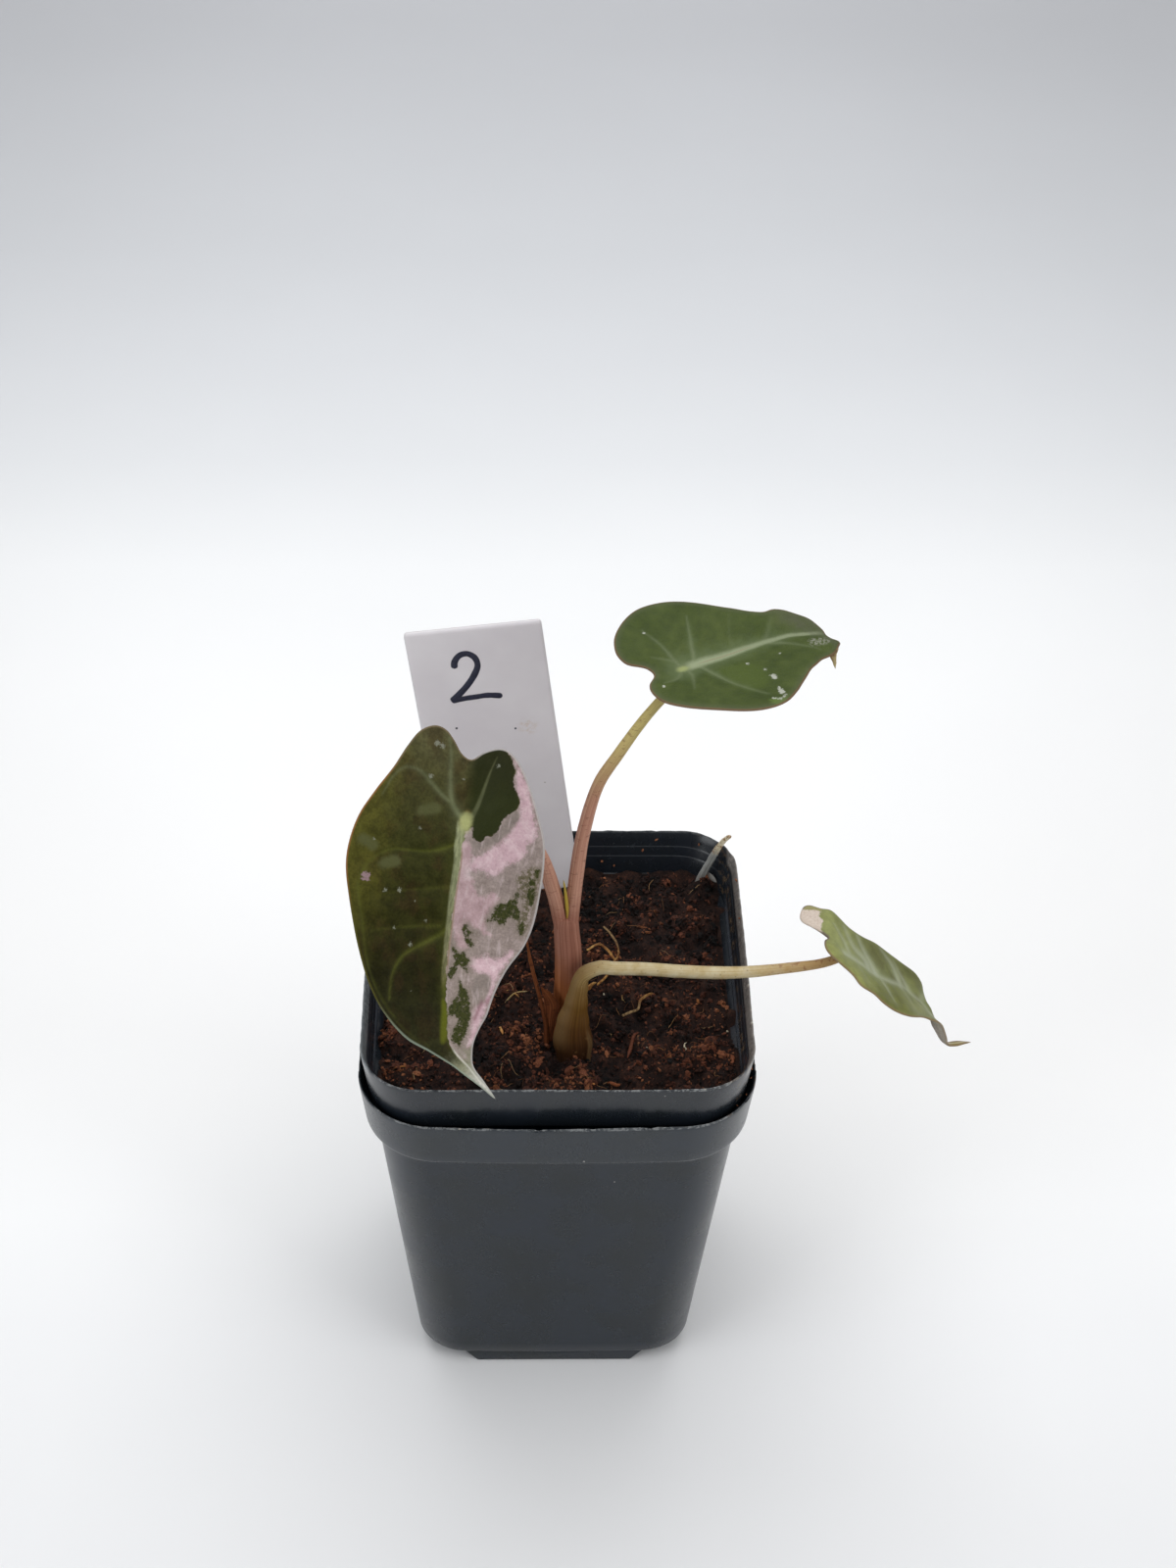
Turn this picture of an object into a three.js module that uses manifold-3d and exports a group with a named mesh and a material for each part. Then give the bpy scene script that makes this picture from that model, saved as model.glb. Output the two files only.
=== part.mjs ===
// A young potted variegated bambino alocasia: three leaves on long stalks, in two nested
// square nursery pots filled with potting soil, with a plant label.
// Millimetres, +Z up. The origin is the middle of the outer pot's foot, on the ground.
// The front of the pot faces -Y.

import * as THREE from 'three';
import Module from 'manifold-3d';
import { mergeVertices } from 'three/addons/utils/BufferGeometryUtils.js';

const wasm = await Module();
wasm.setup();

// Clearance between pieces that touch
const GAP = 0.3;

// Both pots are the same moulding; the inner one is a little narrower and stands proud
const POT_HEIGHT = 76;
const NEST_RISE = 8.2;
const CORNER_LIFT = 3.5;
const COLLAR_FOOT = 66.3;
const WALL = 0.8;
const LIP = 0.9;
const FLOOR = 1;
const ARC_STEPS = 7;
const OUTER_POT = {
  rimHalf: 35.8, rimRadius: 13.3, collarHalf: 34.8, collarRadius: 13.2,
  topHalf: 32.6, topRadius: 9.3, footHalf: 26.5, footRadius: 9, rise: 0,
};
const INNER_POT = {
  rimHalf: 35, rimRadius: 10.4, collarHalf: 34, collarRadius: 11,
  topHalf: 32.3, topRadius: 9.3, footHalf: 26.2, footRadius: 9, rise: NEST_RISE,
};

// The low cross under each pot that it stands on, and the drain hole in each raised corner
const CROSS_HALF_LOW = 15;
const CROSS_HALF_HIGH = 18.5;
const CROSS_WALL = 0.9;
const DRAIN_RADIUS = 2;
const DRAIN_OFFSET = 21;

// Soil surface: a gentle swell with seeded clods
const SOIL_LEVEL = 75.2;
const SOIL_GRID_HALF = 36;
const SOIL_CELLS = 30;
const CLOD_COUNT = 90;

// Plant label
const LABEL = { width: 25, height: 77, thickness: 0.8, lean: 7.2, topRight: [-3, 28, 139.4] };

// Leaf blades
const BLADE_THICKNESS = 0.7;
const BLADE_RAYS = 56;
const BLADE_RINGS = [0.3, 0.55, 0.75, 0.89, 1];
const RIB_ROUNDING = 1.5;
const SPINE_STEP = 0.25;

// Each leaf is laid out flat first, in millimetres from the point where its stalk joins:
// first along the midrib towards the tip, then across it. "bends" and "turns" curve the
// midrib down and sideways between two distances, by degrees; "folds" lifts each half.
const LEFT_LEAF = {
  at: [-15.9, -20, 130.3], tip: [-0.18, -0.613, -0.763], up: [-0.05, -0.779, 0.626],
  reach: [-18, 50], bends: [[0, 45, -6]], turns: [[14, 30, -13], [31, 41, -40]], twists: [],
  folds: [12, 12], curls: [0, 0], lobeDroop: 0, flatFrom: 60,
  outline: [
    [48.5, 0], [45.5, 0.5], [42.5, 1.1], [39, 1.9], [36.4, 3.6], [34, 6.9], [31.5, 9.5],
    [27, 12], [23, 13.7], [19, 15.4], [14.5, 17.2], [9.6, 18.6], [5.8, 18.8], [1, 18],
    [-3.6, 16], [-8, 13.7], [-12, 12], [-14.8, 10.3], [-16, 8], [-15.6, 6.2], [-14.3, 4.7],
    [-12, 2.7], [-11.4, 1.1], [-13, -0.8], [-14.1, -3.4], [-13.9, -5.1], [-12, -7.4],
    [-8.5, -9.8], [-4.3, -12], [0, -13.9], [4, -14.6], [8.7, -14.8], [14, -14.6],
    [18.7, -13.5], [23.5, -11.2], [29.5, -8.5], [34, -6.8], [37, -5.4], [40, -2.6],
    [42, -1], [45, -0.6],
  ],
};
const TOP_LEAF = {
  at: [21.2, 5, 144.9], tip: [0.94, 0.339, 0.05], up: [0, -0.139, 0.99],
  reach: [-12, 40], bends: [[0, 24, 4], [27.5, 32.5, 92]], turns: [[3, 15, -9], [17, 27, 17]],
  twists: [], folds: [9, 7], curls: [0, 0], lobeDroop: 0, flatFrom: 22,
  outline: [
    [37, 0], [33, 1.3], [29.5, 3.4], [26.4, 6], [24.6, 7.1], [19, 10], [13.6, 14],
    [10.5, 15.9], [7.4, 15.9], [1.4, 13], [-3.8, 9.8], [-6.5, 7], [-7.3, 3.8], [-6.8, 1.6],
    [-5.2, -0.4], [-5.8, -2.2], [-8.8, -4.3], [-9.6, -6.6], [-9.3, -8.8], [-8.4, -10.8],
    [-5.7, -13.6], [-2.5, -15.3], [1.5, -15.6], [5.5, -14.8], [10.2, -13], [14.7, -10.3],
    [17.9, -8], [19.8, -7], [21.1, -7.1], [22.4, -6.5], [24.3, -4.9], [26.4, -3.4],
    [29.5, -2], [33, -1.1],
  ],
};
const RIGHT_LEAF = {
  at: [52, -8, 90.8], tip: [0.74, 0, -0.67], up: [0.67, 0, 0.743],
  reach: [-14, 40], bends: [[22, 26, 30], [30, 33, -88]], turns: [[2, 13, -9], [15, 23, 16]],
  twists: [[23, 27, 50]], folds: [12, 8], curls: [-0.02, 0], lobeDroop: 50, flatFrom: 18,
  outline: [
    [37, 0], [33.5, 1], [29.5, 1.2], [25.5, 1.6], [22.5, 2.7], [17, 5.7], [12, 6.9], [8, 6.5],
    [3, 5.6], [-2.8, 4.7], [-4.8, 3], [-5, 1], [-4.2, -0.8], [-3.4, -1.7], [-5, -2.6],
    [-8.8, -5.2], [-8.6, -7], [-7.3, -8.2], [-5.1, -8.4], [-3.2, -8.4], [0.7, -8],
    [8, -8.3], [16, -7.8], [19.4, -7.2], [21.3, -5.8], [22.5, -3.6], [25.2, -1.6],
    [29.5, -1.2], [33.5, -0.9],
  ],
};

// Stalks and other long pieces: centre x, y, z, then width and depth of the section
const FRONT_STALK = [
  [3, -17.8, 66, 5.4, 4], [3, -18, 75.5, 8, 5.4], [3, -17.7, 79.4, 8, 5.4],
  [3.1, -17.2, 83, 7, 5], [3.6, -16.5, 86.6, 5.2, 4.2], [4.1, -15.8, 89.5, 3.8, 3.5],
  [5, -14.9, 92, 3.2, 3], [7.5, -14, 93.1, 2.7, 2.6], [10.1, -13.6, 92.7, 2.4, 2.5],
  [16, -12.6, 91.6, 2.4, 2.4], [21.3, -11.6, 90.2, 2.4, 2.4], [28.5, -10.4, 88.7, 2.4, 2.3],
  [34.5, -9.2, 87.8, 2.3, 2.2], [41.7, -8.4, 88, 2.1, 2], [47.7, -8.2, 88.8, 1.9, 1.8],
  [50.4, -8.1, 89.2, 1.8, 1.8], [51.5, -8, 90.2, 1.8, 1.8],
];
const REAR_SHEATH = [
  [1.2, -11.6, 66, 4.4, 3.6], [1.2, -11.6, 76, 5.2, 4], [1.8, -11.4, 82, 5.2, 4],
  [2, -11, 88, 5, 3.9], [1.9, -10.5, 94, 4.8, 3.7], [1.5, -10, 100, 4.5, 3.3],
  [1.5, -9.9, 102, 3.8, 2.9],
];
const TOP_STALK = [
  [2.3, -10.2, 97, 2.4, 2.6], [2.7, -9.4, 104.8, 2.6, 2.5], [3.3, -7.9, 110.8, 2.6, 2.5],
  [4.3, -6, 117.5, 2.4, 2.3], [6.9, -3.2, 126.4, 2.1, 2.1], [10.2, -1.5, 131.5, 2, 2],
  [13.9, 1, 136.1, 1.8, 1.8], [16.6, 2.6, 139, 1.7, 1.7], [20.3, 4.7, 142.3, 1.7, 1.7],
  [21.2, 5.1, 144.2, 1.7, 1.7],
];
const LEFT_STALK = [
  [0.9, -10.2, 97, 2.4, 2.6], [-0.3, -9.8, 105.1, 2.7, 2.4], [-1.2, -9.8, 109, 2.7, 2.4],
  [-2.2, -10, 113.2, 2.5, 2.3], [-3.5, -10.2, 117, 2.3, 2.2], [-6.5, -11, 122, 2, 2],
  [-10.5, -13, 126.3, 1.8, 1.8], [-14, -15.8, 128, 1.7, 1.7], [-15.6, -17.7, 128.6, 1.7, 1.7],
  [-15.9, -19.5, 129.9, 1.7, 1.7],
];
const NEW_SHOOT = [
  [1.8, -10, 98.5, 1.1, 1.1], [1.7, -10.3, 102, 1.1, 1.1], [1.4, -10.6, 106.5, 0.9, 0.9],
  [0.9, -10.6, 110.5, 0.6, 0.6],
];
const DRY_STRAND = [
  [-1.9, -15.2, 72, 1.4, 0.8], [-2, -14.6, 79.4, 1.5, 0.8], [-2.4, -14, 82.4, 1.4, 0.7],
  [-3.6, -13, 87.4, 1.3, 0.7], [-4.7, -12, 92.2, 1.2, 0.7], [-5.5, -11, 96.8, 0.9, 0.6],
];
const DRY_FLAP = [
  [-1.8, -14.8, 76, 1.2, 0.7], [-1.5, -14.2, 82, 2.6, 0.7], [-1.7, -13.8, 85.5, 2.2, 0.7],
  [-2.9, -13.4, 88, 0.8, 0.6],
];
const WITHERED_STRIP = [
  [27.2, 28.2, 72.5, 1.6, 0.7], [28.3, 29, 76.8, 1.6, 0.7], [30.1, 28, 82.9, 1.4, 0.7],
  [31.9, 26, 89, 1.1, 0.6], [33.3, 25, 91.6, 0.8, 0.6],
];

// Roots that lie on the soil: x and y of their route
const ROOT_THICKNESS = 0.8;
const ROOTS = {
  root_long: [[9.3, 17.8], [10.9, 14.4], [11.8, 11.9], [11.3, 7.2], [9.3, 2.8], [7.6, 1]],
  root_curled: [[4.4, 8.6], [6.1, 9.7], [8.4, 10.2], [10, 8.8]],
  root_front: [[12.3, -7.5], [13.9, -6.4], [15.1, -5.2], [15.6, -3.4], [17.2, -2.8]],
};

function material(colour, roughness, metalness = 0) {
  return new THREE.MeshStandardMaterial({ color: colour, roughness, metalness });
}

// Same seed, same clods
function seededRandom(seed) {
  let state = seed;
  return () => {
    state = (state * 1664525 + 1013904223) % 4294967296;
    return state / 4294967296;
  };
}

function geometryFrom(points, triangles) {
  const geometry = new THREE.BufferGeometry();
  geometry.setAttribute('position', new THREE.Float32BufferAttribute(points.flat(), 3));
  geometry.setIndex(triangles.flat());
  return geometry;
}

function toSolid(geometry) {
  const bare = geometry.clone();
  bare.deleteAttribute('normal');
  bare.deleteAttribute('uv');
  const merged = mergeVertices(bare, 1e-5);
  return new wasm.Manifold(new wasm.Mesh({
    numProp: 3,
    vertProperties: new Float32Array(merged.attributes.position.array),
    triVerts: new Uint32Array(merged.index.array),
  }));
}

function toGeometry(solid) {
  const mesh = solid.getMesh();
  const geometry = new THREE.BufferGeometry();
  geometry.setAttribute('position', new THREE.BufferAttribute(new Float32Array(mesh.vertProperties), 3));
  geometry.setIndex(new THREE.BufferAttribute(new Uint32Array(mesh.triVerts), 1));
  return geometry;
}

// A closed body through rings of equal length, each closed by a fan at the two ends
function loft(rings) {
  const size = rings[0].length;
  const points = rings.flat();
  const triangles = [];
  for (let i = 0; i + 1 < rings.length; i += 1) {
    for (let k = 0; k < size; k += 1) {
      const a = i * size + k;
      const b = i * size + (k + 1) % size;
      triangles.push([a, b, b + size], [a, b + size, a + size]);
    }
  }
  const middle = (ring) => [0, 1, 2].map((axis) => ring.reduce((sum, p) => sum + p[axis], 0) / size);
  const first = points.push(middle(rings[0])) - 1;
  const last = points.push(middle(rings[rings.length - 1])) - 1;
  const top = (rings.length - 1) * size;
  for (let k = 0; k < size; k += 1) {
    const next = (k + 1) % size;
    triangles.push([first, next, k], [last, top + k, top + next]);
  }
  return geometryFrom(points, triangles);
}

function squareRing(half, radius, z) {
  const ring = [];
  const centre = half - radius;
  const signs = [[1, 1], [-1, 1], [-1, -1], [1, -1]];
  signs.forEach(([signX, signY], corner) => {
    for (let step = 0; step <= ARC_STEPS; step += 1) {
      const angle = (corner + step / ARC_STEPS) * Math.PI / 2;
      ring.push([signX * centre + radius * Math.cos(angle), signY * centre + radius * Math.sin(angle), z]);
    }
  });
  return ring;
}

// A block on a rectangle that widens upwards along one direction
function wedgeBlock(lowX, lowY, highX, highY, z0, z1) {
  const rectangle = (x, y, z) => [[x, y, z], [-x, y, z], [-x, -y, z], [x, -y, z]];
  return loft([rectangle(lowX, lowY, z0), rectangle(highX, highY, z1)]);
}

// Two crossed blocks that fill the low cross; inset shrinks them on every side
function crossSolid(reach, inset, z0, z1, slopeFoot) {
  const spread = CROSS_HALF_HIGH - CROSS_HALF_LOW;
  const halfAt = (z) => CROSS_HALF_LOW + spread * (z - slopeFoot) / CORNER_LIFT - inset;
  const low = halfAt(z0);
  const high = halfAt(z1);
  const alongY = toSolid(wedgeBlock(low, reach, high, reach, z0, z1));
  const alongX = toSolid(wedgeBlock(reach, low, reach, high, z0, z1));
  return alongX.add(alongY);
}

// Half-width and corner radius of a pot's collar, outside, at a height over its own foot
function collarAt(pot, z) {
  const share = (z - COLLAR_FOOT) / (POT_HEIGHT - 0.3 - COLLAR_FOOT);
  return {
    half: THREE.MathUtils.lerp(pot.collarHalf, pot.rimHalf, share),
    radius: THREE.MathUtils.lerp(pot.collarRadius, pot.rimRadius, share),
  };
}

function potSolid(pot) {
  const inside = (z, thickness) => {
    const { half, radius } = collarAt(pot, z);
    return [half - thickness, radius - thickness, z];
  };
  const profile = [
    [pot.footHalf - 0.5, pot.footRadius - 0.4, CORNER_LIFT],
    [pot.footHalf, pot.footRadius, CORNER_LIFT + 0.6],
    [pot.topHalf, pot.topRadius, 65.6],
    [pot.collarHalf - 0.3, pot.collarRadius, 65.8],
    [pot.collarHalf, pot.collarRadius, COLLAR_FOOT],
    [pot.rimHalf, pot.rimRadius, POT_HEIGHT - 0.3],
    [pot.rimHalf - 0.25, pot.rimRadius - 0.25, POT_HEIGHT],
    [pot.rimHalf - LIP, pot.rimRadius - LIP, POT_HEIGHT],
    inside(73, LIP),
    inside(72.8, LIP + 0.3),
    inside(71, LIP + 0.3),
    inside(70.8, LIP + 0.6),
    inside(67, LIP + 0.6),
    [pot.topHalf - WALL, pot.topRadius - WALL, 66.4],
    [pot.footHalf - WALL, pot.footRadius - WALL, CORNER_LIFT + FLOOR + 0.4],
    [pot.footHalf - WALL - 0.4, pot.footRadius - WALL - 0.3, CORNER_LIFT + FLOOR],
  ];
  const shell = toSolid(loft(profile.map(([half, radius, z]) => squareRing(half, radius, z))));
  const reach = pot.footHalf - 0.5;
  const cross = crossSolid(reach, 0, 0, CORNER_LIFT + 0.4, 0);
  const recess = crossSolid(reach - FLOOR, CROSS_WALL, CROSS_WALL, CORNER_LIFT + FLOOR + 0.1, 0);
  let solid = shell.add(cross).subtract(recess);
  for (const x of [-DRAIN_OFFSET, DRAIN_OFFSET]) {
    for (const y of [-DRAIN_OFFSET, DRAIN_OFFSET]) {
      const drain = new THREE.CylinderGeometry(DRAIN_RADIUS, DRAIN_RADIUS, 4, 16);
      drain.rotateX(Math.PI / 2).translate(x, y, CORNER_LIFT + FLOOR / 2);
      solid = solid.subtract(toSolid(drain));
    }
  }
  return solid.translate([0, 0, pot.rise]);
}

const random = seededRandom(7);
const clods = Array.from({ length: CLOD_COUNT }, () => ({
  x: (random() * 2 - 1) * 32,
  y: (random() * 2 - 1) * 32,
  radius: 1.2 + random() * 2,
  rise: 0.3 + random() * 1.1,
}));

function soilHeight(x, y) {
  const swell = 0.45 * Math.sin(0.21 * x + 1.3) * Math.cos(0.19 * y - 0.4);
  const ripple = 0.3 * Math.sin(0.5 * x + 0.36 * y) + 0.25 * Math.sin(0.71 * y - 0.23 * x + 2);
  const lumps = clods.reduce((sum, clod) => {
    const distance = Math.hypot(x - clod.x, y - clod.y) / clod.radius;
    return sum + clod.rise * Math.exp(-distance * distance);
  }, 0);
  return SOIL_LEVEL + swell + ripple + lumps;
}

// A block whose top is the soil's surface, wider than the pot
function soilBlock() {
  const side = SOIL_CELLS + 1;
  const points = [];
  const triangles = [];
  const place = (index) => SOIL_GRID_HALF * (2 * index / SOIL_CELLS - 1);
  for (let row = 0; row < side; row += 1) {
    for (let column = 0; column < side; column += 1) {
      points.push([place(column), place(row), soilHeight(place(column), place(row))]);
    }
  }
  for (let row = 0; row < SOIL_CELLS; row += 1) {
    for (let column = 0; column < SOIL_CELLS; column += 1) {
      const a = row * side + column;
      triangles.push([a, a + 1, a + side + 1], [a, a + side + 1, a + side]);
    }
  }
  const border = [];
  for (let i = 0; i < SOIL_CELLS; i += 1) border.push(i);
  for (let i = 0; i < SOIL_CELLS; i += 1) border.push(i * side + SOIL_CELLS);
  for (let i = 0; i < SOIL_CELLS; i += 1) border.push(side * side - 1 - i);
  for (let i = 0; i < SOIL_CELLS; i += 1) border.push((SOIL_CELLS - i) * side);
  const low = border.map((index) => points.push([points[index][0], points[index][1], 0]) - 1);
  const centre = points.push([0, 0, 0]) - 1;
  border.forEach((index, i) => {
    const next = (i + 1) % border.length;
    triangles.push([index, low[i], low[next]], [index, low[next], border[next]]);
    triangles.push([centre, low[next], low[i]]);
  });
  return toSolid(geometryFrom(points, triangles));
}

// The soil fills the inner pot, clear of its walls, under the uneven surface
function soilSolid(holes) {
  const pot = INNER_POT;
  const collar = collarAt(pot, 67);
  const seat = LIP + 0.6 + GAP;
  const profile = [
    [pot.footHalf - WALL - 0.4 - GAP, pot.footRadius - 1.5, CORNER_LIFT + FLOOR + GAP],
    [pot.footHalf - WALL - GAP, pot.footRadius - 1.1, CORNER_LIFT + FLOOR + 0.4 + GAP],
    [pot.topHalf - WALL - GAP, pot.topRadius - 1.1, 66.6],
    [collar.half - seat, collar.radius - seat, 67.3],
    [collar.half - seat, collar.radius - seat, POT_HEIGHT],
  ];
  const body = toSolid(loft(profile.map(([half, radius, z]) => squareRing(half, radius, z))));
  const reach = pot.footHalf - 0.5 - FLOOR - GAP;
  const cross = crossSolid(reach, CROSS_WALL + GAP, CROSS_WALL + GAP, CORNER_LIFT + FLOOR + 0.6, 0);
  const filling = body.add(cross).translate([0, 0, pot.rise]).intersect(soilBlock());
  return holes.reduce((solid, hole) => solid.subtract(hole), filling);
}

// A tapering body along a curve; the section's depth stays as near to Y as the curve allows
function stem(sections, sides, steps, extra = 0) {
  const centres = sections.map(([x, y, z]) => new THREE.Vector3(x, y, z));
  const sizes = sections.map((section) => new THREE.Vector3(section[3], section[4], 0));
  const path = new THREE.CatmullRomCurve3(centres);
  const size = new THREE.CatmullRomCurve3(sizes, false, 'catmullrom', 0);
  const count = (sections.length - 1) * steps;
  const rings = [];
  for (let i = 0; i <= count; i += 1) {
    const t = i / count;
    const tangent = path.getTangent(t);
    const deep = new THREE.Vector3(0, 1, 0).projectOnPlane(tangent).normalize();
    const wide = new THREE.Vector3().crossVectors(deep, tangent);
    const { x: width, y: depth } = size.getPoint(t);
    const centre = path.getPoint(t);
    if (i === 0) centre.addScaledVector(tangent, -extra);
    if (i === count) centre.addScaledVector(tangent, extra);
    const ring = [];
    for (let k = 0; k < sides; k += 1) {
      const angle = 2 * Math.PI * k / sides;
      const point = centre.clone();
      point.addScaledVector(wide, (width / 2 + extra) * Math.cos(angle));
      point.addScaledVector(deep, (depth / 2 + extra) * Math.sin(angle));
      ring.push(point.toArray());
    }
    rings.push(ring);
  }
  return loft(rings);
}

function rootSections(route) {
  return route.map(([x, y]) => [x, y, soilHeight(x, y) + 0.3, ROOT_THICKNESS, ROOT_THICKNESS]);
}

function labelGeometry(extra = 0) {
  const { width, height, thickness, lean, topRight } = LABEL;
  const box = new THREE.BoxGeometry(width + 2 * extra, thickness + 2 * extra, height + 2 * extra);
  box.translate(-width / 2, 0, -height / 2);
  box.rotateY(-THREE.MathUtils.degToRad(lean));
  return box.translate(...topRight);
}

// The midrib's direction, the direction across it and the blade's upward normal at s
function leafFrame(leaf, s) {
  const sum = (list) => list.reduce((total, [from, to, degrees]) => (
    total + degrees * THREE.MathUtils.smoothstep(s, from, to)), 0);
  const droop = -leaf.lobeDroop * THREE.MathUtils.smoothstep(-s, 0, 12);
  const bend = THREE.MathUtils.degToRad(sum(leaf.bends) + droop);
  const turn = THREE.MathUtils.degToRad(sum(leaf.turns));
  const twist = THREE.MathUtils.degToRad(sum(leaf.twists));
  const tip = new THREE.Vector3(...leaf.tip).normalize();
  const up = new THREE.Vector3(...leaf.up).projectOnPlane(tip).normalize();
  const side = new THREE.Vector3().crossVectors(tip, up);
  const blend = (a, weightA, b, weightB) => (
    a.clone().multiplyScalar(weightA).addScaledVector(b, weightB));
  const forward = blend(tip, Math.cos(bend), up, -Math.sin(bend));
  const normal = blend(tip, Math.sin(bend), up, Math.cos(bend));
  const along = blend(forward, Math.cos(turn), side, Math.sin(turn));
  const across = blend(side, Math.cos(turn), forward, -Math.sin(turn));
  return {
    along,
    across: blend(across, Math.cos(twist), normal, Math.sin(twist)),
    normal: blend(normal, Math.cos(twist), across, -Math.sin(twist)),
  };
}

// Returns a function that places the flat point (s, t) on the curved blade
function leafSurface(leaf) {
  const [low, high] = leaf.reach;
  const count = Math.round((high - low) / SPINE_STEP);
  const start = Math.round(-low / SPINE_STEP);
  const spine = [];
  spine[start] = new THREE.Vector3(...leaf.at);
  const direction = (i) => leafFrame(leaf, low + (i + 0.5) * SPINE_STEP).along;
  for (let i = start; i < count; i += 1) {
    spine[i + 1] = spine[i].clone().addScaledVector(direction(i), SPINE_STEP);
  }
  for (let i = start - 1; i >= 0; i -= 1) {
    spine[i] = spine[i + 1].clone().addScaledVector(direction(i), -SPINE_STEP);
  }
  return (s, t) => {
    const place = THREE.MathUtils.clamp((s - low) / SPINE_STEP, 0, count - 1e-6);
    const index = Math.floor(place);
    const centre = spine[index].clone().lerp(spine[index + 1], place - index);
    const { across, normal } = leafFrame(leaf, s);
    const half = t > 0 ? 0 : 1;
    const fade = 1 - THREE.MathUtils.smoothstep(s, leaf.flatFrom, leaf.flatFrom + 8);
    const fold = THREE.MathUtils.degToRad(leaf.folds[half]) * fade;
    const lift = Math.sin(fold) * (Math.hypot(t, RIB_ROUNDING) - RIB_ROUNDING)
      + 0.5 * leaf.curls[half] * t * t * fade;
    return centre.addScaledVector(across, t * Math.cos(fold)).addScaledVector(normal, lift);
  };
}

// A thin blade: rays from the stalk's joint to the outline, alike on both faces
function leafGeometry(leaf) {
  const surface = leafSurface(leaf);
  const corners = leaf.outline.map(([s, t]) => new THREE.Vector3(s, t, 0));
  const edge = new THREE.CatmullRomCurve3(corners, true).getSpacedPoints(BLADE_RAYS);
  edge.pop();
  const flat = [[0, 0]];
  for (const share of BLADE_RINGS) {
    for (const corner of edge) flat.push([corner.x * share, corner.y * share]);
  }
  const upper = [];
  const lower = [];
  const reach = 0.05;
  for (const [s, t] of flat) {
    const alongStep = surface(s + reach, t).sub(surface(s - reach, t));
    const acrossStep = surface(s, t + reach).sub(surface(s, t - reach));
    const normal = alongStep.cross(acrossStep).normalize();
    const centre = surface(s, t);
    upper.push(centre.clone().addScaledVector(normal, BLADE_THICKNESS / 2).toArray());
    lower.push(centre.clone().addScaledVector(normal, -BLADE_THICKNESS / 2).toArray());
  }
  const top = [];
  for (let k = 0; k < BLADE_RAYS; k += 1) {
    const next = (k + 1) % BLADE_RAYS;
    top.push([0, 1 + k, 1 + next]);
    for (let ring = 0; ring + 1 < BLADE_RINGS.length; ring += 1) {
      const a = 1 + ring * BLADE_RAYS + k;
      const b = 1 + ring * BLADE_RAYS + next;
      top.push([a, a + BLADE_RAYS, b + BLADE_RAYS], [a, b + BLADE_RAYS, b]);
    }
  }
  const shift = flat.length;
  const bottom = top.map(([a, b, c]) => [a + shift, c + shift, b + shift]);
  const rim = [];
  const outer = 1 + (BLADE_RINGS.length - 1) * BLADE_RAYS;
  for (let k = 0; k < BLADE_RAYS; k += 1) {
    const a = outer + k;
    const b = outer + (k + 1) % BLADE_RAYS;
    rim.push([a, a + shift, b + shift], [a, b + shift, b]);
  }
  return geometryFrom([...upper, ...lower], [...top, ...bottom, ...rim]);
}

// Stalks: the front one stands before the sheath that the other two share
const STALK_SIDES = 12;
const frontStalk = toSolid(stem(FRONT_STALK, STALK_SIDES, 2));
const newShoot = toSolid(stem(NEW_SHOOT, 6, 2));
const rearStalks = toSolid(stem(REAR_SHEATH, STALK_SIDES, 1))
  .add(toSolid(stem(TOP_STALK, STALK_SIDES, 2)))
  .add(toSolid(stem(LEFT_STALK, STALK_SIDES, 2)))
  .subtract(toSolid(stem(NEW_SHOOT, 6, 2, GAP)));
const drySheath = toSolid(stem(DRY_STRAND, 8, 2)).add(toSolid(stem(DRY_FLAP, 8, 2)));
const witheredStrip = toSolid(stem(WITHERED_STRIP, 8, 2));
const rootPieces = Object.entries(ROOTS).map(([name, route]) => ({
  name,
  solid: toSolid(stem(rootSections(route), 6, 2)),
  clearance: toSolid(stem(rootSections(route), 6, 2, GAP)),
}));

// What stands in the soil or lies on it leaves its own place free there
const soilHoles = [
  toSolid(stem(FRONT_STALK.slice(0, 4), STALK_SIDES, 2, GAP)),
  toSolid(stem(REAR_SHEATH.slice(0, 3), STALK_SIDES, 1, GAP)),
  toSolid(stem(DRY_STRAND, 8, 2, GAP)),
  toSolid(stem(DRY_FLAP, 8, 2, GAP)),
  toSolid(stem(WITHERED_STRIP, 8, 2, GAP)),
  toSolid(labelGeometry(GAP)),
  ...rootPieces.map((root) => root.clearance),
];

const pieces = [
  ['outer_pot', toGeometry(potSolid(OUTER_POT)), material(0x24282b, 0.5)],
  ['inner_pot', toGeometry(potSolid(INNER_POT)), material(0x1f2326, 0.5)],
  ['soil', toGeometry(soilSolid(soilHoles)), material(0x2f1c15, 1)],
  ['plant_label', labelGeometry(), material(0xd8d8dc, 0.6)],
  ['front_stalk', toGeometry(frontStalk), material(0xb3a06a, 0.6)],
  ['rear_stalks', toGeometry(rearStalks), material(0xa0705f, 0.6)],
  ['new_shoot', toGeometry(newShoot), material(0xb4c832, 0.5)],
  ['leaf_left', leafGeometry(LEFT_LEAF), material(0x4b5229, 0.45)],
  ['leaf_top', leafGeometry(TOP_LEAF), material(0x52693d, 0.45)],
  ['leaf_right', leafGeometry(RIGHT_LEAF), material(0x7d8d62, 0.45)],
  ['dry_sheath', toGeometry(drySheath), material(0x7b4527, 0.8)],
  ['withered_strip', toGeometry(witheredStrip), material(0xb7c0ae, 0.5)],
  ...rootPieces.map(({ name, solid }) => [name, toGeometry(solid), material(0xa98c5c, 0.8)]),
];

const plant = new THREE.Group();
for (const [name, geometry, look] of pieces) {
  const mesh = new THREE.Mesh(geometry, look);
  mesh.name = name;
  plant.add(mesh);
}

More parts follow.
